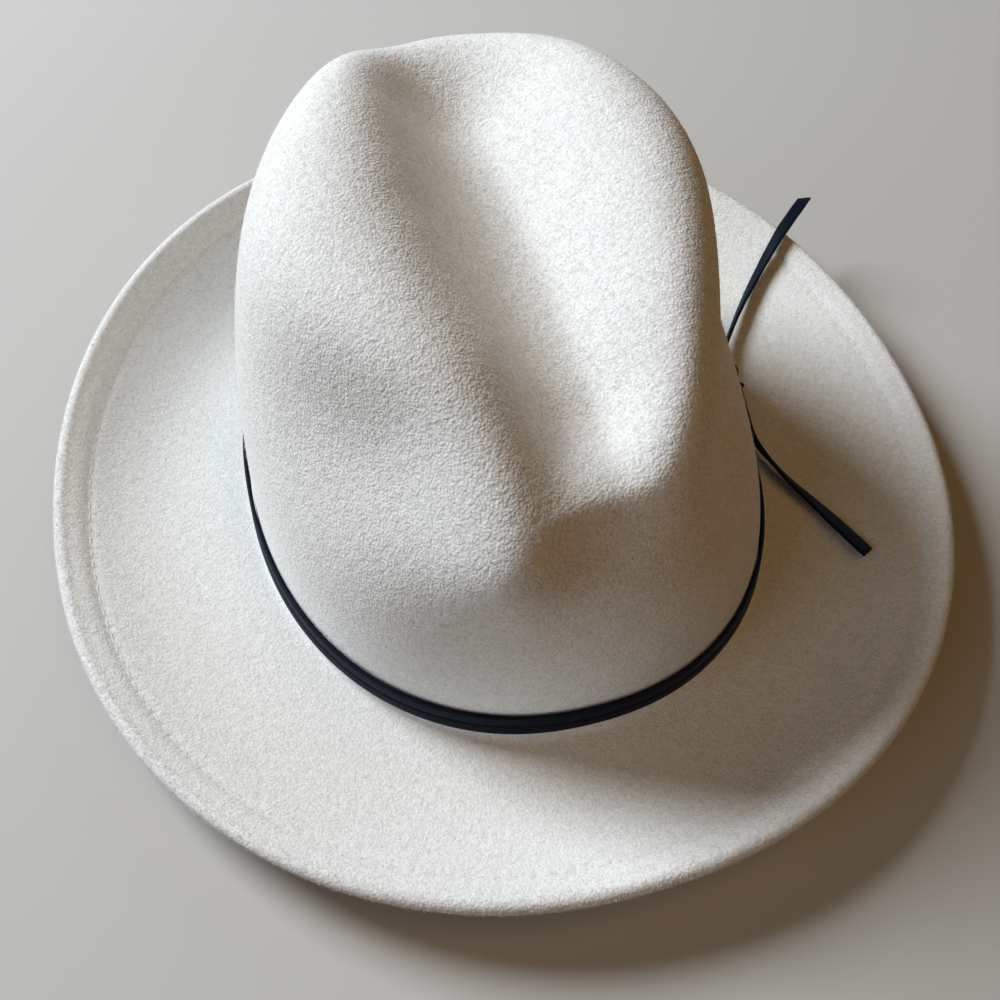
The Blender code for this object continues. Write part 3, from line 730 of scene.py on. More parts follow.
def smooth_route(route, count):
    """Evenly spaced readings of a cubic through the route's points, sloped like the chords beside them."""
    route = over_brim(route)
    knots = np.append(0.0, np.cumsum(np.linalg.norm(np.diff(route[:, :3], axis=0), axis=1)))
    slopes = np.gradient(route, knots, axis=0)
    distance = np.linspace(0.0, knots[-1], count)
    span = np.clip(np.searchsorted(knots, distance, side="right") - 1, 0, len(knots) - 2)
    length = (knots[span + 1] - knots[span])[:, None]
    part = (distance - knots[span])[:, None] / length
    rise = part**2 * (3.0 - 2.0 * part)
    start = (1.0 - rise) * route[span] + part * (1.0 - part) ** 2 * length * slopes[span]
    end = rise * route[span + 1] + part**2 * (part - 1.0) * length * slopes[span + 1]
    return start + end


print("front tail", round(path_length(smooth_route(FRONT_TAIL_ROUTE, TAIL_STATIONS)[:, :3]), 4))
print("rear tail", round(path_length(smooth_route(REAR_TAIL_ROUTE, TAIL_STATIONS)[:, :3]), 4))

# %% Sweeping a flat lace
LACE_WIDTH = 0.0046
LACE_SIDES = 24
TAIL_THICKNESS = 0.0015
UP = np.array([0.0, 0.0, 1.0])


def soft_section(width, thickness, count, power=4.0):
    """A superellipse: flat faces and soft edges, as pairs along the thickness and along the width."""
    turn = np.linspace(0.0, 2 * math.pi, count, endpoint=False)
    cosine, sine = np.cos(turn), np.sin(turn)
    out = np.sign(cosine) * np.abs(cosine) ** (2.0 / power) * thickness / 2
    up = np.sign(sine) * np.abs(sine) ** (2.0 / power) * width / 2
    return np.stack([out, up], axis=-1)


def strip_frames(points, turns):
    """Tangents, thickness and width directions: the width starts upright and turns about the tangent."""
    tangents = unit(np.gradient(points, axis=0))
    upright = unit(UP - (tangents @ UP)[:, None] * tangents)
    side = np.cross(tangents, upright)
    cosine, sine = np.cos(turns)[:, None], np.sin(turns)[:, None]
    return tangents, side * cosine - upright * sine, upright * cosine + side * sine


def sweep(points, frames, section, cut=0.0):
    """The section carried along the path; the last ring is slanted by a cut along the tangent."""
    tangents, side, width = frames
    grid = points[:, None] + section[None, :, :1] * side[:, None] + section[None, :, 1:] * width[:, None]
    slant = cut * section[:, 1] / section[:, 1].max()
    grid[-1] += slant[:, None] * tangents[-1]
    return grid[None]


lace_corner = soft_section(LACE_WIDTH, TAIL_THICKNESS, LACE_SIDES)[LACE_SIDES // 8]
print("lace section's corner", lace_corner.round(5), "m out and up")

# %% Loose ends


def lace_tail(name, route, cut, node):
    """A free end of the lace: a soft-edged strip swept along its route, cut off at a slant.

    Two slow sine waves swell and thin it by a few hundredths."""
    stations = smooth_route(route, TAIL_STATIONS)
    path = CENTRE + stations[:, :3]
    share = np.linspace(0.0, 1.0, len(path))
    swell = 1.0 + 0.03 * np.sin(17.0 * share) + 0.02 * np.sin(41.0 * share + 1.0)
    frames = strip_frames(path, np.radians(stations[:, 3]))
    grid = sweep(path, frames, soft_section(LACE_WIDTH, TAIL_THICKNESS, LACE_SIDES), cut)
    grid = path[None, :, None] + (grid - path[None, :, None]) * swell[None, :, None, None]
    ends = grid[:, [0, -1]].mean(axis=2)
    piece = dress(name, skin(name, grid, ends=ends), LACE, "lace_band", "lace", node)


lace_tail("front_lace_end", FRONT_TAIL_ROUTE, 0.0008, "front_tail")
lace_tail("rear_lace_end", REAR_TAIL_ROUTE, 0.0018, "rear_tail")

# %% [markdown]
# ## Ivory felt
# The felt is thick wool, brushed a little and sheared. Close up it is a carpet of tiny curls under a
# millimetre across on tufts of about two, which read as a fine light and dark speckle where the light
# grazes them. The bump has only those two, because more of it would look like plaster. Most of the speckle
# is colour: bright hairs, fine fibres, curls and tufts, and a slow cloud over all of them. The crown's top
# has the longest nap and the brim the shortest. Round the brim, needle holes follow the stitching, so they
# are placed by the piece's own chart, and the shade in them is painted into the colour.

# %% Felt finish
STITCH_COUNT = 196


def felt_finish():
    """Ivory wool: hairs and curls over tufts, weaker on the ironed brim, and dimples at the stitches, sunk by
    the bump and painted darker as shade.

    A dimple is exp(-(distance in grooves)^2) times (1 - |sin(pi * stitches)|)^2, deepest between stitches."""
    finish = Finish("ivory_felt", 0.92, Sheen_Weight=0.15, Sheen_Roughness=0.45, Specular_IOR_Level=0.15)
    hairs = finish.hairs(0.0016, 8.0) * 0.5 + finish.hairs(0.0012, 8.0) * 0.5
    tufts = finish.noise(0.0022, 3.0, 0.6)
    curls = 1.0 - finish.cells(0.0008)
    fibres = finish.noise(0.0007, 2.0, 0.6)
    cloud = finish.noise(0.045, 2.0, 0.5)
    nap = finish.climb(0.012, 0.070, 0.65)
    stitches, beside = finish.chart()
    near = math.e ** (-1.0 * (beside * beside))
    needle_dip_and_painted_shade = near * (1.0 - abs((stitches * math.pi).wave())) ** 2.0
    grain = (hairs - 0.3) * 0.7 + (tufts - 0.5) * 1.3 + (fibres - 0.5) * 1.9 + (curls - 0.5) * 0.7
    # The needle holes are painted darker in the tone, a painted shade in their dimples; the relief below
    # gives their real dip.
    tone = 0.5 + grain * nap + (cloud - 0.5) * 0.2 - needle_dip_and_painted_shade * 0.08
    finish.show("Base Color", finish.mix(tone, (0.680, 0.674, 0.652), (0.950, 0.945, 0.923)))
    finish.relief((curls * 0.40 + tufts * 0.85) * nap - needle_dip_and_painted_shade * 0.25, 0.00050, 0.8)
    return finish


FELT = felt_finish()
print("finish", FELT.material.name)

# %% [markdown]
# ## The felt body
# Crown and brim are one piece of felt, so they are one closed surface: from the middle of the tip down the
# outside, out over the brim, round the hem and its wire, and back along the underside and up the inside.
# Every ring is read at the same angles, so the whole section is a single grid of rings.

# %% Crown rings
AROUND = 320
TURN = np.linspace(0.0, 2 * math.pi, AROUND, endpoint=False)
OUTER_RINGS = 127
INNER_RINGS = 49
UNEVENNESS = 0.00010


def column(*values):
    """Values as a column, one for each ring."""
    return np.concatenate([np.atleast_1d(value) for value in values])[:, None]


def unevenness(angles, step):
    """How far a hand-shaped crown stands off its formula: slow waves that fade out towards the band."""
    fade = smooth_step((step - 0.12) / 0.25) * smooth_step((1.0 - step) / 0.2)
    waves = np.sin(3 * angles + 9 * step) + 0.7 * np.sin(5 * angles - 14 * step + 1.3)
    return UNEVENNESS * fade * (waves + 0.6 * np.sin(8 * angles + 23 * step))


def crown_rings(steps, offset):
    """Rings of the crown at steps up its side, an offset out, with the same unevenness inside and out."""
    steps = column(steps)
    return crown_face(TURN, steps, offset + unevenness(TURN, steps))


def break_rings(radius, count):
    """A quarter turn from wall to brim, from its top down."""
    turn = column(np.linspace(0.0, math.pi / 2, count + 2)[1:])
    return outline_offset(TURN, BREAK_RADIUS - radius * np.cos(turn), BREAK_TOP - radius * np.sin(turn))


stand_off = np.abs(unevenness(TURN, column(np.linspace(0.0, 1.0, OUTER_RINGS)))).max()
print("the crown stands off its formula by up to", round(float(stand_off), 5), "m")

# %% Brim and hem rings
BRIM_RINGS = 42
GROOVE_RINGS = 20
UNDER_RINGS = 16
GROOVE_DEPTH = 0.00035
GROOVE_WIDTH = 0.0013
HEM_SWELL = 0.0003
HEM_CORNER_IN = 0.0004
HEM_CORNER_UP = 0.0005
HEM_MOUTH_ROUND = 0.0003
WIRE_HOLLOW = 0.0009


def brim_top_rings():
    """The brim's upper face, from its foot to the edge, with the groove that the stitches pull in."""
    run = brim_width(TURN) - FOOT_END
    share = column(np.linspace(1.0, 0.0, BRIM_RINGS)[:-1])
    groove = STITCH_INSET + 3 * GROOVE_WIDTH
    insets = groove + (run - groove) * share
    fine = column(np.linspace(groove, 0.0, GROOVE_RINGS)) + 0.0 * run
    insets = np.vstack([insets, fine])
    swell = HEM_SWELL * np.sin(math.pi * np.clip(insets / STITCH_INSET, 0.0, 1.0)) ** 2
    depth = GROOVE_DEPTH * bell(insets, STITCH_INSET, GROOVE_WIDTH) - swell
    return brim_face(TURN, insets, depth), insets


def hem_rings():
    """The fold round the edge, the hem's underside and raw end, and the slit and hollow for the wire."""
    fold = column(np.linspace(math.pi / 2, -math.pi / 2, 15)[1:])
    rings = [brim_face(TURN, 0.0, HEM_RADIUS * (1.0 - np.sin(fold)), HEM_RADIUS * np.cos(fold))]
    under = column(np.linspace(0.0, HEM_LENGTH - HEM_CORNER_IN, 8)[1:])
    rings.append(brim_face(TURN, under, 2 * HEM_RADIUS))
    inner = FELT_THICKNESS + HEM_SLIT
    depths = column(2 * HEM_RADIUS - HEM_CORNER_UP, inner + HEM_MOUTH_ROUND, inner)
    rings.append(brim_face(TURN, column(HEM_LENGTH, HEM_LENGTH, HEM_LENGTH - HEM_MOUTH_ROUND), depths))
    mouth = math.asin(HEM_SLIT / 2 / WIRE_HOLLOW)
    hollow = column(np.linspace(math.pi + mouth, 3 * math.pi - mouth, 12))
    depth = HEM_RADIUS - WIRE_HOLLOW * np.sin(hollow)
    rings.append(brim_face(TURN, 0.0, depth, WIRE_HOLLOW * np.cos(hollow)))
    return np.concatenate(rings)


def brim_under_rings():
    """The brim's underside, from the hem's raw end in to its foot."""
    run = brim_width(TURN) - FOOT_END
    share = column(np.linspace(0.0, 1.0, UNDER_RINGS))
    return brim_face(TURN, HEM_LENGTH + (run - HEM_LENGTH) * share, FELT_THICKNESS)


print("rings: top", len(brim_top_rings()[0]), "hem", len(hem_rings()), "under", len(brim_under_rings()))

# %% Felt mesh


def felt_rings():
    """All rings of the felt's section in order, and how far each lies from the stitch line in grooves."""
    outer = crown_rings(np.linspace(1.0, 0.0, OUTER_RINGS)[1:], 0.0)
    turn = break_rings(BREAK_RADIUS, 5)
    top, insets = brim_top_rings()
    inner = crown_rings(np.linspace(0.0, 1.0, INNER_RINGS)[:-1], -FELT_THICKNESS)
    under = [hem_rings(), brim_under_rings(), break_rings(BREAK_RADIUS + FELT_THICKNESS, 4)[::-1], inner]
    rings = np.concatenate([outer, turn, top] + under)
    beside = np.full(rings.shape[:2], 9.0)
    start = len(outer) + len(turn)
    beside[start:start + len(top)] = (insets - STITCH_INSET) / GROOVE_WIDTH
    return rings, beside


def felt_mesh():
    """The rings as one grid, closed by fans at the tip, with a chart of stitches round and grooves beside."""
    rings, beside = felt_rings()
    peak = creased(np.zeros(1), 0.0, 1.0)
    ends = np.stack([peak, peak - (0.0, 0.0, FELT_THICKNESS)], axis=1)
    count = np.linspace(0.0, STITCH_COUNT, AROUND + 1) + np.zeros((len(rings), 1))
    chart = np.stack([count, np.hstack([beside, beside[:, :1]])], axis=-1)
    return skin("felt_hat", CENTRE + rings[None], ends=CENTRE + ends, chart=chart)


dress("felt_hat", felt_mesh(), FELT, "hat", "felt", "felt_body")

# %% [markdown]
# ## Loose fibres
# Wool felt is never quite shut. Fine fibre ends stand out of it, arch over and lie down again, and they
# soften every edge against the light. Bump cannot break an outline, so these are real shapes: thin closed
# spindles whose feet are sunk in the felt. They are scattered with a fixed seed, and most thickly round
# the folded edge, which no iron flattens.

# %% A fibre's finish and shape
FIBRE_RADIUS = 0.00003
SHORTEST_FIBRE = 0.0005
LONGEST_FIBRE = 0.0015
SCATTER = np.random.default_rng(11)


def fibre_finish():
    """Single wool fibres: the felt's lighter shades, uneven from one fibre to the next."""
    finish = Finish("loose_wool", 0.9, Sheen_Weight=0.2, Specular_IOR_Level=0.2)
    shade = finish.noise(0.0020, 2.0, 0.6)
    finish.show("Base Color", finish.mix(shade, (0.800, 0.794, 0.772), (0.950, 0.946, 0.925)))
    finish.show("Roughness", 0.8 + shade * 0.2)
    return finish


def fibre_grid(roots, normals):
    """Two rings of three points and two tips for each fibre, along a path that leans over as it goes.

    The path climbs, levels off and dips in three straight parts, and the last two bend aside."""
    count = len(roots)
    length = SCATTER.uniform(SHORTEST_FIBRE, LONGEST_FIBRE, count)[:, None]
    lean = unit(np.cross(normals, SCATTER.normal(size=(count, 3))))
    side = np.cross(normals, lean)
    curl = SCATTER.normal(0.0, 0.4, count)[:, None] * side
    first = roots + length * (0.25 * lean + 0.20 * normals)
    second = first + length * (0.35 * lean + 0.10 * normals + 0.3 * curl)
    tip = second + length * (0.30 * lean - 0.12 * normals + 0.5 * curl)
    turn = np.arange(3) * 2 * math.pi / 3
    ring = np.cos(turn)[:, None] * normals[:, None] + np.sin(turn)[:, None] * side[:, None]
    rings = [place[:, None] + FIBRE_RADIUS * ring for place in (first, second)]
    return np.stack(rings, axis=1), np.stack([roots - 3 * FIBRE_RADIUS * normals, tip], axis=1)


WOOL = fibre_finish()
print("finish", WOOL.material.name, "on fibres", SHORTEST_FIBRE, "to", LONGEST_FIBRE, "m long")

# %% Scattered fibres


def crown_roots(count):
    """Places on the crown above the laces, about evenly by area, and the normals there."""
    angles = SCATTER.uniform(0.0, 2 * math.pi, count)
    wall = SCATTER.uniform(0.10, WALL_SHARE, count)
    top = 1.0 - (1.0 - WALL_SHARE) * np.sqrt(SCATTER.random(count))
    step = np.where(SCATTER.random(count) < 0.75, wall, top)
    face = crown_face(angles, step, unevenness(angles, step))
    return face, unit(crown_face(angles, step, 0.001) - face)


def brim_roots(count):
    """Places on the brim's upper face, clear of its foot, and the normals there."""
    angles = SCATTER.uniform(0.0, 2 * math.pi, count)
    inset = SCATTER.uniform(0.0, 0.75 * BRIM_WIDTH, count)
    face = brim_face(angles, inset, 0.0)
    return face, unit(face - brim_face(angles, inset, 0.001))


def edge_roots(count):
    """Places round the folded edge, from its top to most of the way under, and the normals there."""
    angles = SCATTER.uniform(0.0, 2 * math.pi, count)
    fold = SCATTER.uniform(0.0, 0.8 * math.pi, count)
    face = brim_face(angles, 0.0, HEM_RADIUS * (1.0 - np.cos(fold)), HEM_RADIUS * np.sin(fold))
    return face, unit(face - brim_face(angles, 0.0, HEM_RADIUS))


for name, roots, count in (
    ("crown_fibres", crown_roots, 12000),
    ("brim_fibres", brim_roots, 8000),
    ("edge_fibres", edge_roots, 12000),
):
    fibres, tips = fibre_grid(*roots(count))
    dress(name, skin(name, CENTRE + fibres, ends=CENTRE + tips), WOOL, "hat", "felt")

# %% [markdown]
# ## The hem's stitches and wire
# A single row of cream thread holds the hem, and each stitch pulls the felt into a shallow groove and dips
# into its needle holes. The stitches are all one small shape, placed evenly by length along the row. The
# wire lies inside the fold, where only a cut would show it, and it keeps its own solid.

# %% Thread and steel finishes


def thread_finish():
    """Waxed cotton: fine plies as a close noise in the bump and in a slightly uneven cream."""
    finish = Finish("cream_thread", 0.85, Sheen_Weight=0.1)
    plies = finish.noise(0.00025, 2.0, 0.6)
    finish.show("Base Color", finish.mix(plies, (0.76, 0.752, 0.725), (0.92, 0.914, 0.890)))
    finish.relief(plies, 0.0001, 0.8)
    return finish


def steel_finish():
    """Drawn spring steel: fine scratches in its colour, roughness and bump."""
    finish = Finish("spring_steel", 0.35, Metallic=1.0)
    scratches = finish.noise(0.0006, 4.0, 0.7)
    finish.show("Base Color", finish.mix(scratches, (0.50, 0.50, 0.51), (0.62, 0.62, 0.63)))
    finish.show("Roughness", 0.25 + scratches * 0.25)
    finish.relief(scratches, 0.00003, 0.5)
    return finish


THREAD = thread_finish()
STEEL = steel_finish()
brim_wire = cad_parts["brim_wire"]
brim_wire.data.materials.clear()
brim_wire.data.materials.append(STEEL.material)
print("finishes", THREAD.material.name, STEEL.material.name)

# %% Hem stitches
THREAD_RADIUS = 0.00026


def even_angles(row, marks):
    """The angles at marks counted from 0 to 1 by length along a closed row read at even angles."""
    closed = np.vstack([row, row[:1]])
    length = np.append(0.0, np.cumsum(np.linalg.norm(np.diff(closed, axis=0), axis=1)))
    return np.interp(marks % 1.0 * length[-1], length, np.linspace(0.0, 2 * math.pi, len(length)))


def stitch_grid(place, row, count, gap):
    """Thread capsules in a row: each runs most of its pitch, arched, and narrows into its needle holes."""
    along = np.linspace(-1.0, 1.0, 9)
    marks = (np.arange(count)[:, None] + 0.5 + along * (1.0 - gap) / 2) / count
    angles = even_angles(row, marks)[..., None]
    turn = np.linspace(0.0, 2 * math.pi, 7, endpoint=False)
    girth = THREAD_RADIUS * np.sqrt(1.0 - 0.75 * along**6)[:, None]
    sunk = (0.9 * THREAD_RADIUS * along**4)[:, None]
    slant = (0.25 * THREAD_RADIUS * along)[:, None]
    return place(angles, slant + girth * np.cos(turn), sunk - girth * np.sin(turn))


def hem_stitch_place(angles, aside, deep):
    """Points in the groove of the brim's top, a step aside and a depth from the thread's middle."""
    return brim_face(angles, STITCH_INSET + aside, GROOVE_DEPTH + 0.25 * THREAD_RADIUS + deep)


stitch_row = brim_face(TURN, STITCH_INSET, GROOVE_DEPTH)
stitches = CENTRE + stitch_grid(hem_stitch_place, stitch_row, STITCH_COUNT, 0.24)
stitch_ends = stitches[:, [0, -1]].mean(axis=2)
dress("hem_stitches", skin("hem_stitches", stitches, ends=stitch_ends), THREAD, "hat", "thread",
      "brim_stitching")

# %% [markdown]
# ## The sweatband
# Inside the head opening sits a strip of brown leather, stitched along its foot and lapped at the back
# under a small bow. A reed in the fold at its foot keeps the opening round. The strip is the wall's own
# line, moved inwards, with a rounded section carried up it. Leather grain is a close network of creases,
# which a distance pattern between scattered points gives.

# %% Leather and reed finishes


def leather_finish():
    """Brown leather: a network of creases for its grain, and a tone that clouds from darker to lighter.

    A crease is 1 on the line between two cells and fades to 0 a quarter of a cell away."""
    finish = Finish("tanned_leather", 0.5, Specular_IOR_Level=0.4)
    grain = finish.cells(0.0009, "DISTANCE_TO_EDGE")
    cloud = finish.noise(0.014, 3.0, 0.55)
    creases = 1.0 - (grain * 4.0).at_most(1.0)
    shade = cloud - creases * 0.25
    finish.show("Base Color", finish.mix(shade, (0.135, 0.068, 0.034), (0.230, 0.128, 0.070)))
    finish.show("Roughness", 0.42 + cloud * 0.2 + creases * 0.1)
    finish.relief(cloud * 0.4 - creases * 0.6, 0.00016, 0.6)
    return finish


def reed_finish():
    """Dark extruded plastic with a faint drawn unevenness."""
    finish = Finish("dark_reed", 0.4)
    drawn = finish.noise(0.0011, 3.0, 0.6)
    finish.show("Base Color", finish.mix(drawn, (0.024, 0.024, 0.025), (0.042, 0.041, 0.040)))
    finish.show("Roughness", 0.34 + drawn * 0.14)
    finish.relief(drawn, 0.00005, 0.5)
    return finish


LEATHER = leather_finish()
REED = reed_finish()
print("finishes", LEATHER.material.name, REED.material.name)

# %% Sweatband and reed
BAND_HEIGHT = 0.0320
BAND_THICKNESS = 0.0011
BAND_FOOT = 0.0034
BAND_CLEARANCE = 0.0005
BAND_OFFSET = -FELT_THICKNESS - BAND_CLEARANCE
REED_RADIUS = 0.0011
GAP = 0.0003


def ring_of(points):
    """One grid whose rows are the points of a section and whose columns go round the hat."""
    return CENTRE + points[None]


def band_mesh():
    """The strip's section, rounded at its two edges, carried round the inside of the wall."""
    section = soft_section(BAND_HEIGHT, BAND_THICKNESS, 44, 9.0)
    rise = BAND_FOOT + BAND_HEIGHT / 2 + section[:, 1:]
    offset = BAND_OFFSET - BAND_THICKNESS / 2 + section[:, :1]
    return skin("leather_sweatband", ring_of(wall_level(TURN, rise, offset)), loop_rows=True)


def tube_mesh(name, radius, sides, place):
    """A round tube: a circle of the radius carried round the hat by a place function of out and up steps."""
    turn = column(np.linspace(0.0, 2 * math.pi, sides, endpoint=False))
    return skin(name, ring_of(place(radius * np.cos(turn), radius * np.sin(turn))), loop_rows=True)


def reed_place(out, up):
    """Places round the reed: it lies a gap off the turn from wall to brim and a gap under the sweatband.

    So its middle is on a circle about the turn's centre, and its offset follows by Pythagoras."""
    z = BAND_FOOT - GAP - REED_RADIUS
    reach = BREAK_RADIUS + FELT_THICKNESS + GAP + REED_RADIUS
    offset = BREAK_RADIUS - math.sqrt(reach**2 - (BREAK_TOP - z) ** 2)
    return outline_offset(TURN, offset + out, z + up)


dress("leather_sweatband", band_mesh(), LEATHER, "hat", "sweatband_leather", "sweatband")
dress("reed_tube", tube_mesh("reed_tube", REED_RADIUS, 16, reed_place), REED, "hat", "reed", "sweatband_reed")

# %% Sweatband stitches
BAND_STITCHES = 150
BAND_INNER = BAND_OFFSET - BAND_THICKNESS
SEAM_INSET = 0.0016
SEAM_HEIGHT = BAND_FOOT + SEAM_INSET


def band_stitch_place(angles, aside, deep):
    """Points over the sweatband's inner face, a step up and a depth from the thread's middle."""
    return wall_level(angles, SEAM_HEIGHT + aside, BAND_INNER - 0.4 * THREAD_RADIUS + deep)


seam_row = wall_level(TURN, SEAM_HEIGHT, BAND_INNER)
band_stitches = CENTRE + stitch_grid(band_stitch_place, seam_row, BAND_STITCHES, 0.22)
band_ends = band_stitches[:, [0, -1]].mean(axis=2)
dress("band_stitches", skin("band_stitches", band_stitches, ends=band_ends), THREAD, "hat", "thread",
      "sweatband_stitching")

# %% [markdown]
# ## Bow and tag
# A tiny ribbon bow covers the lap at the back of the sweatband, and a bare woven tag is tucked beside it.
# Each loop of the bow is a ribbon that leaves the knot narrow, opens out, and comes back, so it is drawn
# as a thin section carried along a flattened loop. The tag is a thin slab with soft corners.

# %% Ribbon and tag finishes


def ribbon_finish():
    """Ribbed silk ribbon: close ribs across its run, counted by the chart."""
    finish = Finish("black_ribbon", 0.55, Sheen_Weight=0.2)
    along, _ = finish.chart()
    ribs = abs((along * 2.2).wave())
    weave = finish.noise(0.0004)
    shade = ribs * 0.7 + weave * 0.3
    finish.show("Base Color", finish.mix(shade, (0.012, 0.012, 0.014), (0.030, 0.030, 0.033)))
    finish.relief(ribs + weave * 0.3, 0.00008, 0.7)
    return finish


def tag_finish():
    """Woven white tape: a fine crossed weave as bump and slight shade."""
    finish = Finish("woven_tag", 0.65)
    along, across = finish.chart()
    weave = (along * 3.0).wave() * (across * 3.0).wave() * 0.5 + 0.5
    finish.show("Base Color", finish.mix(weave, (0.66, 0.66, 0.63), (0.78, 0.78, 0.76)))
    finish.relief(weave, 0.00004, 0.6)
    return finish


RIBBON = ribbon_finish()
TAG = tag_finish()
print("finishes", RIBBON.material.name, TAG.material.name)

# %% Loops of the bow
BOW_SPAN = 0.0260
BOW_HEIGHT = 0.0080
BOW_LIFT = 0.0200
BACK = math.pi / 2
RIBBON_THICKNESS = 0.00022
RIBBON_SIDES = 12
LOOP_START = 0.0008
LOOP_REACH = BOW_SPAN / 2 - 0.0010
LOOP_DEPTH = 0.00062
LOOP_OPENING = 0.00042
LOOP_STATIONS = 40


def on_band(across, up, deep, angle):
    """Points by their distance along the sweatband from an angle, their height and their depth off it."""
    angles = angle + across / (HEAD_HALF_LENGTH + BAND_INNER)
    return wall_level(angles, up, BAND_INNER - GAP - deep)


def ribbon_loop(side):
    """A flattened loop out from the knot and back, wide in mid-length and narrow at the knot."""
    turn = np.linspace(0.0, 2 * math.pi, LOOP_STATIONS, endpoint=False)[:, None]
    out = (1.0 - np.cos(turn)) / 2
    deep = LOOP_DEPTH + LOOP_OPENING * np.sin(turn) * np.sqrt(out)
    half = BOW_HEIGHT / 2 * (0.34 + 0.66 * smooth_step(out / 0.75))
    section = soft_section(2.0, RIBBON_THICKNESS, RIBBON_SIDES, 6.0)
    across = side * (LOOP_START + out * LOOP_REACH) + 0.0 * section[:, 0]
    return on_band(across, BOW_LIFT + half * section[:, 1], deep + section[:, 0] * np.cos(turn / 2), BACK)


loops = CENTRE + np.stack([ribbon_loop(1.0), ribbon_loop(-1.0)])
loop_chart = even_chart(LOOP_STATIONS, RIBBON_SIDES)[..., ::-1]
bow_mesh = skin("ribbon_bow", loops, loop_rows=True, chart=loop_chart)
dress("ribbon_bow", bow_mesh, RIBBON, "hat", "ribbon", "sweatband_bow")

# %% Knot of the bow
WRAP_WIDTH = 0.0042
WRAP_THICKNESS = 0.0003
WRAP_RADIUS = 0.0016
WRAP_HALF_HEIGHT = 0.0019
WRAP_HALF_DEPTH = 0.00058
WRAP_DEPTH = 0.00075
WRAP_STATIONS = 24


def bow_knot():
    """The wrap at the bow's middle: a small ring of ribbon round the loops' narrow ends."""
    turn = np.linspace(0.0, 2 * math.pi, WRAP_STATIONS, endpoint=False)[:, None]
    section = soft_section(WRAP_WIDTH, WRAP_THICKNESS, RIBBON_SIDES, 5.0)
    reach = 1.0 + section[:, 0] / WRAP_RADIUS
    up = BOW_LIFT + WRAP_HALF_HEIGHT * np.sin(turn) * reach
    deep = WRAP_DEPTH + WRAP_HALF_DEPTH * np.cos(turn) * reach
    return on_band(section[:, 1] + 0.0 * turn, up, deep, BACK)


wrap = CENTRE + bow_knot()[None]
wrap_mesh = skin("ribbon_knot", wrap, loop_rows=True, chart=even_chart(WRAP_STATIONS, RIBBON_SIDES))
dress("ribbon_knot", wrap_mesh, RIBBON, "hat", "ribbon")

# %% Tag
TAG_ANGLE = math.radians(62)
TAG_LENGTH = 0.0160
TAG_HEIGHT = 0.0090
TAG_THICKNESS = 0.0004
TAG_SIDES = 48


def tag_grid():
    """A thin slab with soft corners: rings at six depths, drawn in at its two faces."""
    edge = soft_section(TAG_HEIGHT, TAG_LENGTH, TAG_SIDES, 12.0)
    shrink = np.array([0.6, 0.97, 1.0, 1.0, 0.97, 0.6])[:, None]
    deep = TAG_THICKNESS * np.array([0.0, 0.0, 0.25, 0.75, 1.0, 1.0])[:, None] + 0.0 * edge[:, 0]
    return on_band(edge[:, 0] * shrink, BOW_LIFT + edge[:, 1] * shrink, deep, TAG_ANGLE)


tag = CENTRE + tag_grid()[None]
tag_chart = even_chart(tag.shape[1], TAG_SIDES)
tag_mesh = skin("woven_tag", tag, ends=tag[:, [0, -1]].mean(axis=2), chart=tag_chart)
dress("woven_tag", tag_mesh, TAG, "hat", "tag", "size_tag")

# %% [markdown]
# ## The two turns of lace
# The lace goes round the crown twice, one turn lying on the other, just above the brim. Both follow the
# wall with a soft-edged flat section, and each wanders up and down by a hair so that the dark line between
# them is not ruled straight.

# %% Turns of the lace
LACE_THICKNESS = 0.0014
LACE_FOOT = BREAK_TOP + 2 * GAP
LACE_WANDER = 0.00008


def lace_turn_mesh(name, foot, phase):
    """The lace's section carried round the wall, a gap off it, with slow waves of its height."""
    section = soft_section(LACE_WIDTH, LACE_THICKNESS, LACE_SIDES)
    wander = LACE_WANDER * (np.sin(2 * TURN + phase) + np.sin(5 * TURN + 2 * phase))
    rise = foot + LACE_WIDTH / 2 + section[:, 1:] + wander
    offset = GAP + LACE_THICKNESS / 2 + section[:, :1]
    return skin(name, ring_of(wall_level(TURN, rise, offset)), loop_rows=True)


for name, foot, phase, node in (
    ("lower_lace", LACE_FOOT, 0.4, "lace_lower_turn"),
    ("upper_lace", LACE_FOOT + LACE_WIDTH + GAP, 1.7, "lace_upper_turn"),
):
    dress(name, lace_turn_mesh(name, foot, phase), LACE, "lace_band", "lace", node)

# %% [markdown]
# ## The knot
# The two ends are tied in a tight overhand knot against the wearer's left side. An overhand knot pulled
# tight and closed on itself is a trefoil, so the strip is carried along a trefoil curve flattened against
# the crown. The strip's flat side faces away from the knot's middle, as it does when a flat lace is tied.

# %% Knot
KNOT_WIDTH = 0.0034
KNOT_THICKNESS = 0.0017
KNOT_MARGIN = np.array([0.0020, 0.0010, 0.0010])


def knot_mesh():
    """A trefoil, (sin t + 2 sin 2t, cos t - 2 cos 2t, -sin 3t), scaled into the knot's box less a margin."""
    low, high = (np.array(corner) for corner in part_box("lace_knot"))
    t = np.linspace(0.0, 2 * math.pi, 120, endpoint=False)
    along = (np.sin(t) + 2.0 * np.sin(2 * t)) / 2.7
    upward = (np.cos(t) - 2.0 * np.cos(2 * t)) / 3.0
    deep = -np.sin(3 * t)
    middle = (low + high) / 2
    path = middle + np.stack([deep, along, upward], axis=-1) * ((high - low) / 2 - KNOT_MARGIN)
    tangent = unit(np.roll(path, -1, axis=0) - np.roll(path, 1, axis=0))
    off = unit(path - middle)
    width = unit(np.cross(tangent, off))
    side = np.cross(width, tangent)
    section = soft_section(KNOT_WIDTH, KNOT_THICKNESS, 20, 3.0)
    return skin("tied_knot", sweep(path, (tangent, side, width), section), loop_rows=True)


dress("tied_knot", knot_mesh(), LACE, "lace_band", "lace", "lace_knot")

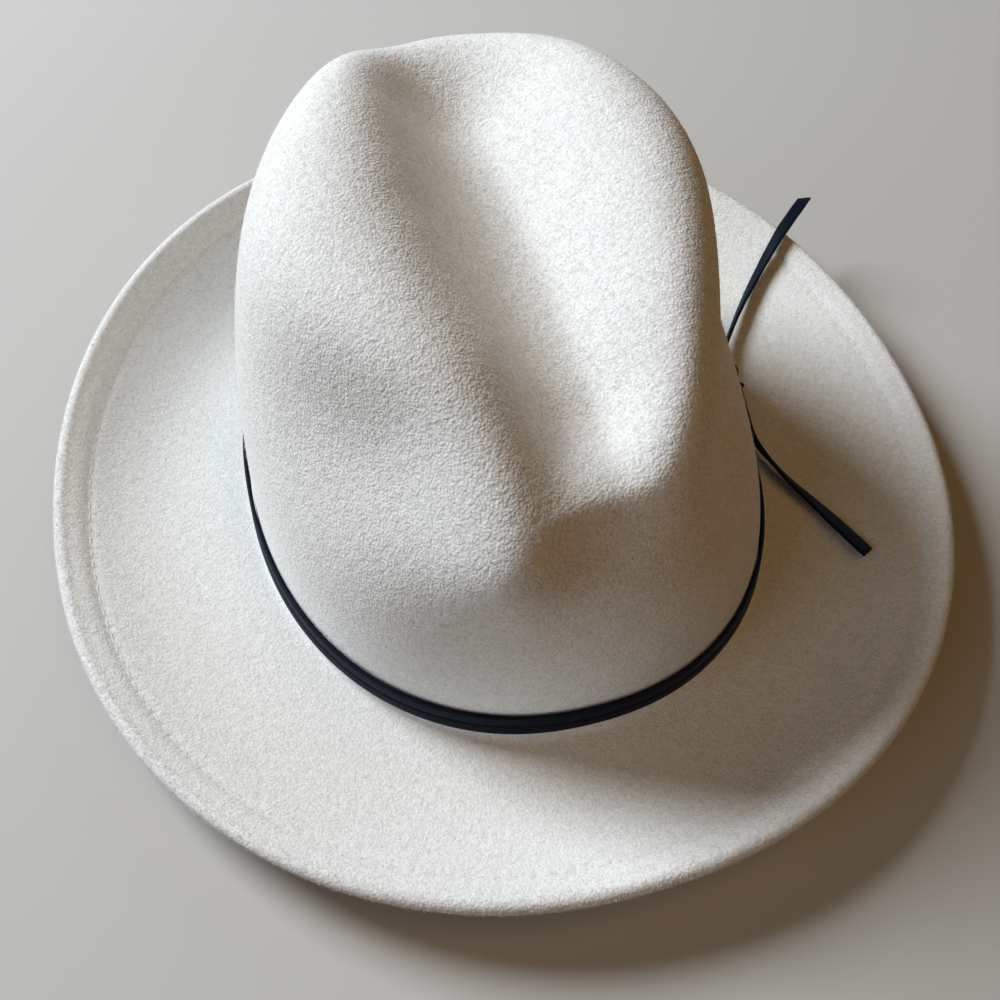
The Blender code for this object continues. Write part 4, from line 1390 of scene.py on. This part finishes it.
# %% [markdown]
# ## Floor and light
# The hat lies on a plain pale floor. One large soft lamp stands behind it on the wearer's right, low
# enough for the creases and the nap to read by their shade. A weak cool one fills in from the wearer's
# right, and a dim warm one from high up in front, on their left. The rest is what the floor throws back,
# which is warm too. The floor and the sky are paler to the camera and in reflections than to the hat, so
# that they lighten the view without filling the shade.

# %% Floor
FLOOR_RADIUS = 1.7
FLOOR_DROP = 0.0002
PALE = (0.60, 0.585, 0.56)
WARM = (0.29, 0.17, 0.09)


def seen_directly(tree):
    """1 for the rays that a viewer follows, straight or by a reflection, and 0 for bounced light."""
    rays = ("Is Camera Ray", "Is Glossy Ray", "Is Transmission Ray")
    camera, glossy, through = (tree.node("ShaderNodeLightPath", output=name) for name in rays)
    return camera + glossy + through


def add_floor():
    """A wide level disc with a plain finish, whose colour differs between viewed and bounced light."""
    finish = Finish("pale_floor", 0.8, Specular_IOR_Level=0.1)
    finish.show("Base Color", finish.mix(seen_directly(finish), WARM, PALE))
    mesh = bpy.data.meshes.new("floor")
    turn = np.linspace(0.0, 2 * math.pi, 64, endpoint=False)
    x, y = FLOOR_RADIUS * np.cos(turn), FLOOR_RADIUS * np.sin(turn)
    rim = np.stack([x, y, 0.0 * turn - FLOOR_DROP], axis=-1)
    mesh.from_pydata(rim.tolist(), [], [list(range(len(turn)))])
    mesh.materials.append(finish.material)
    floor = bpy.data.objects.new("floor", mesh)
    SCENE.collection.objects.link(floor)
    print("floor", 2 * FLOOR_RADIUS, "m across")


add_floor()

# %% Lamps
WINDOW = {"azimuth": 135.0, "elevation": 37.0, "distance": 2.2, "size": 1.05, "level": 1.19}
SIDE = {"azimuth": 205.0, "elevation": 26.0, "distance": 2.2, "size": 1.4, "level": 0.12}
ROOM = {"azimuth": 315.0, "elevation": 65.0, "distance": 2.2, "size": 1.6, "level": 0.13}
WINDOW_COLOUR = (0.92, 1.0, 1.06)
SIDE_COLOUR = (0.88, 0.96, 1.08)
ROOM_COLOUR = (1.0, 0.58, 0.20)


def add_lamp(name, place, colour):
    """A round soft lamp that faces the hat. At level 1 a matt surface facing it shows its own colour.

    Its power is level * (pi * distance)^2 watts, and its azimuth turns from +X towards +Y."""
    data = bpy.data.lights.new(name, "AREA")
    data.shape = "DISK"
    data.size = place["size"]
    data.energy = place["level"] * (math.pi * place["distance"]) ** 2
    data.color = colour
    azimuth, elevation = math.radians(place["azimuth"]), math.radians(place["elevation"])
    level = math.cos(elevation)
    direction = Vector((level * math.cos(azimuth), level * math.sin(azimuth), math.sin(elevation)))
    lamp = bpy.data.objects.new(name, data)
    lamp.location = direction * place["distance"]
    lamp.rotation_euler = direction.to_track_quat("Z", "Y").to_euler()
    SCENE.collection.objects.link(lamp)
    print(name, round(data.energy, 1), "W")


add_lamp("window", WINDOW, WINDOW_COLOUR)
add_lamp("side_window", SIDE, SIDE_COLOUR)
add_lamp("room", ROOM, ROOM_COLOUR)

# %% Sky and view
SKY_COLOUR = (1.0, 0.88, 0.74, 1.0)
SKY_LEVEL = 0.008


def add_sky():
    """A dim even sky for light, and a pale one for the camera and for reflections."""
    world = bpy.data.worlds.new("sky")
    world.use_nodes = True
    sky = Tree(world.node_tree)
    fill = sky.node("ShaderNodeBackground", {}, {"Color": SKY_COLOUR, "Strength": SKY_LEVEL})
    pale = sky.node("ShaderNodeBackground", {}, {"Color": (*PALE, 1.0)})
    mixed = sky.node("ShaderNodeMixShader", {}, {0: seen_directly(sky).at_most(1.0), 1: fill, 2: pale})
    sky.feed(world.node_tree.nodes["World Output"].inputs["Surface"], mixed)
    SCENE.world = world
    print("sky", SKY_LEVEL, "bright to the hat")


add_sky()
SCENE.view_settings.view_transform = "Standard"
